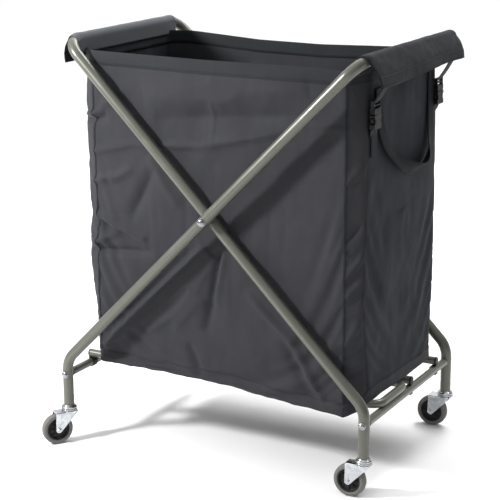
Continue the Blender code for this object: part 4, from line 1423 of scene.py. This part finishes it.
def flap_pieces(word, side, half_depth, front_y, back_y):
    radius = TUBE_RADIUS + 0.0011
    total = FLAP_INNER_DROP + radius * math.radians(180 - FLAP_LEAVES_BAR) + FLAP_LOOSE
    body = f"{word}_side"
    steps, count = 44, 108

    def at(s, y):
        p = flap_point(s, y, half_depth)
        return np.array((p[0] * side, p[1], p[2]))

    ss, share = np.linspace(0, total, steps), np.linspace(0, 1, count)
    points, flat = np.zeros((steps, count, 3)), []
    for i, s in enumerate(ss):
        outward = max(0.0, s / total - 0.55) / 0.45
        low_y, high_y = front_y + 0.022 * outward, back_y - 0.014 * outward
        for k, t in enumerate(share):
            y = low_y + (high_y - low_y) * t
            points[i, k] = at(s, y)
            flat.append((y, s))
    def wrinkle_at(p):
        return noise.fractal(Vector((p[1] * 18, p[2] * 30, side * 3.0)), 1.0, 2.0, 3)

    wrinkle = np.array([[wrinkle_at(p) for p in row] for row in points])
    ways = unit(np.cross(np.gradient(points, axis=1), np.gradient(points, axis=0)))
    if np.sum(ways[steps // 2, :, 2]) < 0:
        ways = -ways
    free = np.clip((ss - FLAP_INNER_DROP) / 0.02, 0, 1)[:, None]
    points = points + ways * (np.abs(wrinkle) * 0.0016 * free)[..., None]
    shape = Shape().add(points, quads(steps, count), flat)
    # The flap sheet is in the darker flap cloth: painted shade.
    made = thicken(
        piece(f"{word}_flap_sheet", shape, SHADED_FLAP_CLOTH, body, [f"{word}_flap"], 180),
        CLOTH,
    )
    # On the left flap, the inner side and the part over the bar take the lighter cloth: painted light.
    made.data.materials.append(LIT_FLAP_CLOTH)
    for face in made.data.polygons if side < 0 else ():
        face.material_index = int(face.index // (count - 1) < steps * 0.42)

    hem = Shape()
    row0 = steps - 9
    lift = CLOTH / 2 + 0.0007
    outside = points[row0:] + ways[row0:] * lift
    inside = points[row0:] - ways[row0:] * lift
    edge = points[-1:] + (points[-1:] - points[-2:-1]) * 0.35
    band = np.concatenate([outside, edge, inside[::-1]])
    band_flat = [(share[k] * 0.46, 0.003 * i) for i in range(len(band)) for k in range(count)]
    hem.add(band, quads(len(band), count), band_flat)
    # The flap hem is in the darker flap cloth too: painted shade.
    hem_piece = thicken(
        piece(f"{word}_flap_hem", hem, SHADED_FLAP_CLOTH, body, (), 60), 0.0005
    )

    sewing = Shape()
    for row in (row0 + 1, steps - 2):
        stitches(sewing, points[row] + ways[row] * (lift + 0.0004), ways[row])
    for column in (1, count - 2):
        stitches(sewing, points[12:, column] + ways[12:, column] * (CLOTH / 2 + 0.0002), ways[12:, column])
    stitched = piece(f"{word}_flap_stitching", sewing, THREAD, body, (), 60)
    buckle_y = BUCKLE_Y[side]

    sewn = Shape()
    for way in (-1, 1):
        slide = 0.010 if (side > 0 and way > 0) else 0.0
        top = np.array((side * (FLAP_EDGE_X - 0.0045), way * (buckle_y + slide), FLAP_EDGE_Z + 0.012))
        mid = np.array((side * 0.3850, way * (buckle_y + slide * 0.4), 0.8935))
        low = np.array((side * (BUCKLE_X + 0.0060), way * buckle_y, PLUG_TOP_Z - 0.0060))
        path = curve_through([top, mid, low], 0.0007)
        strap(sewn, path, WEBBING_WIDTH, 0.0017, (0, 1, 0), 0.22)
        under = [
            (BUCKLE_X + 0.0045, SOCKET_BOTTOM_Z + 0.0040), (BUCKLE_X + 0.0016, SOCKET_BOTTOM_Z - 0.004),
            (BAG_HALF_X + 0.0026, SOCKET_BOTTOM_Z - 0.020),
            (BAG_HALF_X + 0.0024, SOCKET_BOTTOM_Z - 0.063),
        ]
        sew_y = way * min(buckle_y, 0.1655)
        ys = (way * buckle_y, way * buckle_y, sew_y, sew_y)
        path = curve_through([(side * x, y, z) for (x, z), y in zip(under, ys)], 0.0007)
        strap(sewn, path, WEBBING_WIDTH, 0.0017, (0, 1, 0), 0.22)
    piece(f"{word}_buckle_webbing", sewn, WEBBING, body, (), 60)


def buckle_pieces(prefix, side, way):
    """A side-release buckle: a plug with two prongs in a hollow socket."""
    body = f"{prefix.split('_')[0]}_side"
    z0, z1, z2 = SOCKET_BOTTOM_Z, SOCKET_TOP_Z, PLUG_TOP_Z
    x0, x1 = BUCKLE_X, BUCKLE_X + 0.0120

    def outline(shape, points, low, high):
        prism(shape, [(way * BUCKLE_Y[side] + y, z) for y, z in points], side * low, side * high, "X")

    plate = [
        (-0.0165, z0), (0.0165, z0), (0.0180, z0 + 0.0020), (0.0180, z0 + 0.0100), (0.0140, z0 + 0.0130),
        (0.0140, z0 + 0.0215), (0.0180, z0 + 0.0245), (0.0176, z1 - 0.0006), (0.0160, z1), (-0.0160, z1),
        (-0.0176, z1 - 0.0006), (-0.0180, z0 + 0.0245), (-0.0140, z0 + 0.0215), (-0.0140, z0 + 0.0130),
        (-0.0180, z0 + 0.0100), (-0.0180, z0 + 0.0020),
    ]
    socket = Shape()
    for low, high in ((x0, x0 + 0.0024), (x1 - 0.0024, x1)):
        outline(socket, plate, low, high)
    for sign in (-1, 1):
        for a, b in ((z0 + 0.0015, z0 + 0.0095), (z0 + 0.0250, z1 - 0.0004)):
            rail = [(sign * 0.0155, a), (sign * 0.0178, a), (sign * 0.0178, b), (sign * 0.0155, b)]
            outline(socket, rail, x0 + 0.001, x1 - 0.001)
    for z in (z0 + 0.0004, z0 + 0.0068):
        outline(
            socket,
            [(-0.0165, z), (0.0165, z), (0.0165, z + 0.0030), (-0.0165, z + 0.0030)],
            x0 + 0.001,
            x1 - 0.0012,
        )
    piece(
        f"{prefix}_clip_socket", socket, PLASTIC, body, [f"{prefix}_buckle_socket"], 40,
        0.0006, 3,
    )

    plug = Shape()
    crest = [
        (-0.0150, z1 + 0.0004), (0.0150, z1 + 0.0004), (0.0172, z1 + 0.0030), (0.0172, z1 + 0.0120),
        (0.0160, z1 + 0.0140), (-0.0160, z1 + 0.0140), (-0.0172, z1 + 0.0120), (-0.0172, z1 + 0.0030),
    ]
    outline(plug, crest, x0 + 0.0008, x1 - 0.0008)
    for sign in (-1, 1):
        arm = [
            (sign * 0.0142, z1 + 0.0120), (sign * 0.0172, z1 + 0.0120), (sign * 0.0172, z2 - 0.001),
            (sign * 0.0160, z2), (sign * 0.0142, z2),
        ]
        outline(plug, arm, x0 + 0.0020, x1 - 0.0020)
        prong = [
            (sign * 0.0100, z1 + 0.002), (sign * 0.0090, z0 + 0.0150), (sign * 0.0120, z0 + 0.0105),
            (sign * 0.0150, z0 + 0.0125), (sign * 0.0174, z0 + 0.0175), (sign * 0.0172, z0 + 0.0225),
            (sign * 0.0140, z0 + 0.0240), (sign * 0.0138, z1 + 0.002),
        ]
        outline(plug, prong, x0 + 0.0032, x1 - 0.0032)
    tongue = [(-0.0040, z0 + 0.013), (0.0040, z0 + 0.013), (0.0045, z1 + 0.002), (-0.0045, z1 + 0.002)]
    outline(plug, tongue, x0 + 0.0040, x1 - 0.0040)
    for z in (z1 + 0.0185, z2 - 0.0036):
        outline(
            plug,
            [(-0.0158, z), (0.0158, z), (0.0158, z + 0.0034), (-0.0158, z + 0.0034)],
            x0 + 0.0026,
            x1 - 0.0026,
        )
    piece(
        f"{prefix}_clip_plug", plug, PLASTIC, body, [f"{prefix}_buckle_plug"], 40, 0.0006,
        3,
    )


def handle_piece(word, side):
    """A loop of doubled cloth, sewn on under the flap, that twists a little at the bottom."""
    spots = [
        (0.3596, -0.143, LOOP_TOP_Z),
        (0.3606, -0.140, 0.8450),
        (0.3622, -0.126, 0.7980),
        (0.3650, -0.096, 0.7540),
        (0.3685, -0.052, 0.7210),
        (0.3710, 0.003, 0.6970),
        (0.3720, 0.052, 0.6850),
        (0.3712, 0.094, 0.6890),
        (0.3690, 0.122, 0.7130),
        (0.3655, 0.136, 0.7540),
        (0.3625, 0.143, 0.8150),
        (0.3598, 0.147, LOOP_TOP_Z),
    ]
    path = curve_through([(side * x, y * LOOP_SPREAD[side], z) for x, y, z in spots], 0.003)
    tangents, _ = directions(path)
    out = np.array((side * 1.0, 0, 0))
    wide = unit(np.cross(out, tangents))
    along = np.linspace(0, 1, len(path))
    twist = 0.95 * np.exp(-(((along - 0.60) / 0.10) ** 2)) - 0.35 * np.exp(-(((along - 0.33) / 0.08) ** 2))
    lean = wide * np.cos(twist)[:, None] + out * np.sin(twist)[:, None] * side
    shape = strap(Shape(), path, 0.031, 0.0022, lean, sides=10)
    made = piece(
        f"{word}_carry_loop", shape, HANDLE_CLOTH, f"{word}_loop", [f"{word}_handle"],
        60,
    )
    sewing = Shape()
    ways = unit(np.cross(tangents, lean))
    ways = ways * np.sign(ways[len(ways) // 4, 0] * side)
    for share in (-0.40, 0.40):
        line = path + lean * 0.029 * share + ways * 0.0012
        stitches(sewing, line, ways)
        line = path + lean * 0.029 * share - ways * 0.0012
        stitches(sewing, line, -ways)
    piece(f"{word}_carry_loop_stitching", sewing, THREAD, f"{word}_loop", (), 60)
    return made


# ---------------------------------------------------------------- the cart


def build_cart():
    pivot_pieces()
    trails = {
        ("front", "left"): 235, ("back", "left"): 125, ("front", "right"): 180, ("back", "right"): 180
    }
    for word, side_word, side, half_depth in (
        ("outer", "left", -1, OUTER_FRAME_Y), ("inner", "right", 1, INNER_FRAME_Y)
    ):
        frame_pieces(word, side_word, side, half_depth)
        for place, way in (("front", -1), ("back", 1)):
            caster_pieces(place, side_word, (side * LEG_X, way * half_depth), trails[place, side_word])
    rail_pieces("front", -1)
    rail_pieces("rear", 1)
    bag_pieces()
    floor_piece()
    flap_pieces("right", 1, OUTER_FRAME_Y, -0.247, 0.247)
    flap_pieces("left", -1, INNER_FRAME_Y, -0.220, 0.212)
    for word, side in (("left", -1), ("right", 1)):
        for place, way in (("front", -1), ("back", 1)):
            buckle_pieces(f"{word}_{place}", side, way)
        handle_piece(word, side)


build_cart()


# ---------------------------------------------------------------- floor, light and camera


def studio():
    floor = bpy.data.meshes.new("studio_floor")
    points, faces = [], []
    back = [(-40.0, 0.0), (4.5, 0.0)] + [
        (4.5 + 1.6 * math.sin(a), 1.6 - 1.6 * math.cos(a)) for a in np.linspace(0.1, 1.5, 14)
    ] + [(6.1, 6.0)]
    turn = Matrix.Rotation(math.radians(28.6), 4, "Z")
    for y, z in back:
        for x in (-40.0, 40.0):
            points.append(tuple(turn @ Vector((x, y, z))))
    for i in range(len(back) - 1):
        faces.append((2 * i, 2 * i + 1, 2 * i + 3, 2 * i + 2))
    floor.from_pydata(points, [], faces)
    floor.shade_smooth()
    made, w, shader = finish("studio_paper", Roughness=0.9, Specular_IOR_Level=0.1)
    tone = w.span(w.noise(w.place(), 3.0, 2.0), 0.3, 0.7, 0.985, 1.0)
    w.feed(shader["Base Color"], shaded(w, (0.92, 0.92, 0.92), tone))
    floor.materials.append(made)
    paper = bpy.data.objects.new("studio_floor", floor)
    bpy.context.scene.collection.objects.link(paper)

    world = bpy.data.worlds.new("studio_air")
    world.use_nodes = True
    w = Wires(world.node_tree)
    background = world.node_tree.nodes["Background"]
    background.inputs["Color"].default_value = (1.0, 1.0, 1.0, 1.0)
    x, y, z = w.split(w.node("ShaderNodeTexCoord").outputs["Generated"])
    lean = w.math("ADD", w.math("MULTIPLY", x, -0.55), w.math("MULTIPLY", z, 0.80))
    w.feed(background.inputs["Strength"], w.span(lean, -0.35, 0.95, 0.16, 1.10))
    bpy.context.scene.world = world

    def soft_light(name, at, aim, size, power):
        lamp = bpy.data.lights.new(name, "AREA")
        lamp.shape = "RECTANGLE"
        lamp.size, lamp.size_y = size
        lamp.energy = power
        holder = bpy.data.objects.new(name, lamp)
        holder.location = at
        holder.rotation_mode = "QUATERNION"
        holder.visible_camera = False
        holder.rotation_quaternion = (Vector(aim) - Vector(at)).to_track_quat("-Z", "Y")
        bpy.context.scene.collection.objects.link(holder)

    soft_light("top_softbox", (0.35, 2.3, 3.6), (0.0, 0.0, 0.2), (1.5, 1.5), 85)
    soft_light("key_softbox", (-1.05, -1.40, 1.40), (-0.15, -0.2, 0.62), (0.24, 0.24), 50)
    soft_light("backdrop_light", (0.0, 1.2, 3.6), (-0.8, 4.6, 0.4), (4.0, 1.5), 110)


def photo_camera():
    yaw, pitch, roll = 0.4998, 0.2630, -0.0053
    ahead = Vector((-math.sin(yaw) * math.cos(pitch), math.cos(yaw) * math.cos(pitch), -math.sin(pitch)))
    right = Vector((math.cos(yaw), math.sin(yaw), 0))
    up = right.cross(ahead)
    turned_right = right * math.cos(roll) + up * math.sin(roll)
    turned_up = up * math.cos(roll) - right * math.sin(roll)
    lens = bpy.data.cameras.new("viewpoint")
    lens.sensor_width = 36.0
    lens.lens = 1528.67 * 36.0 / 500
    camera = bpy.data.objects.new("viewpoint", lens)
    turn = Matrix((turned_right, turned_up, -ahead)).transposed().to_4x4()
    camera.matrix_world = Matrix.Translation((1.6539 + SHIFT, -3.0850, 1.4024)) @ turn
    bpy.context.scene.collection.objects.link(camera)
    bpy.context.scene.camera = camera


studio()
photo_camera()
bpy.context.scene.view_settings.view_transform = "Standard"
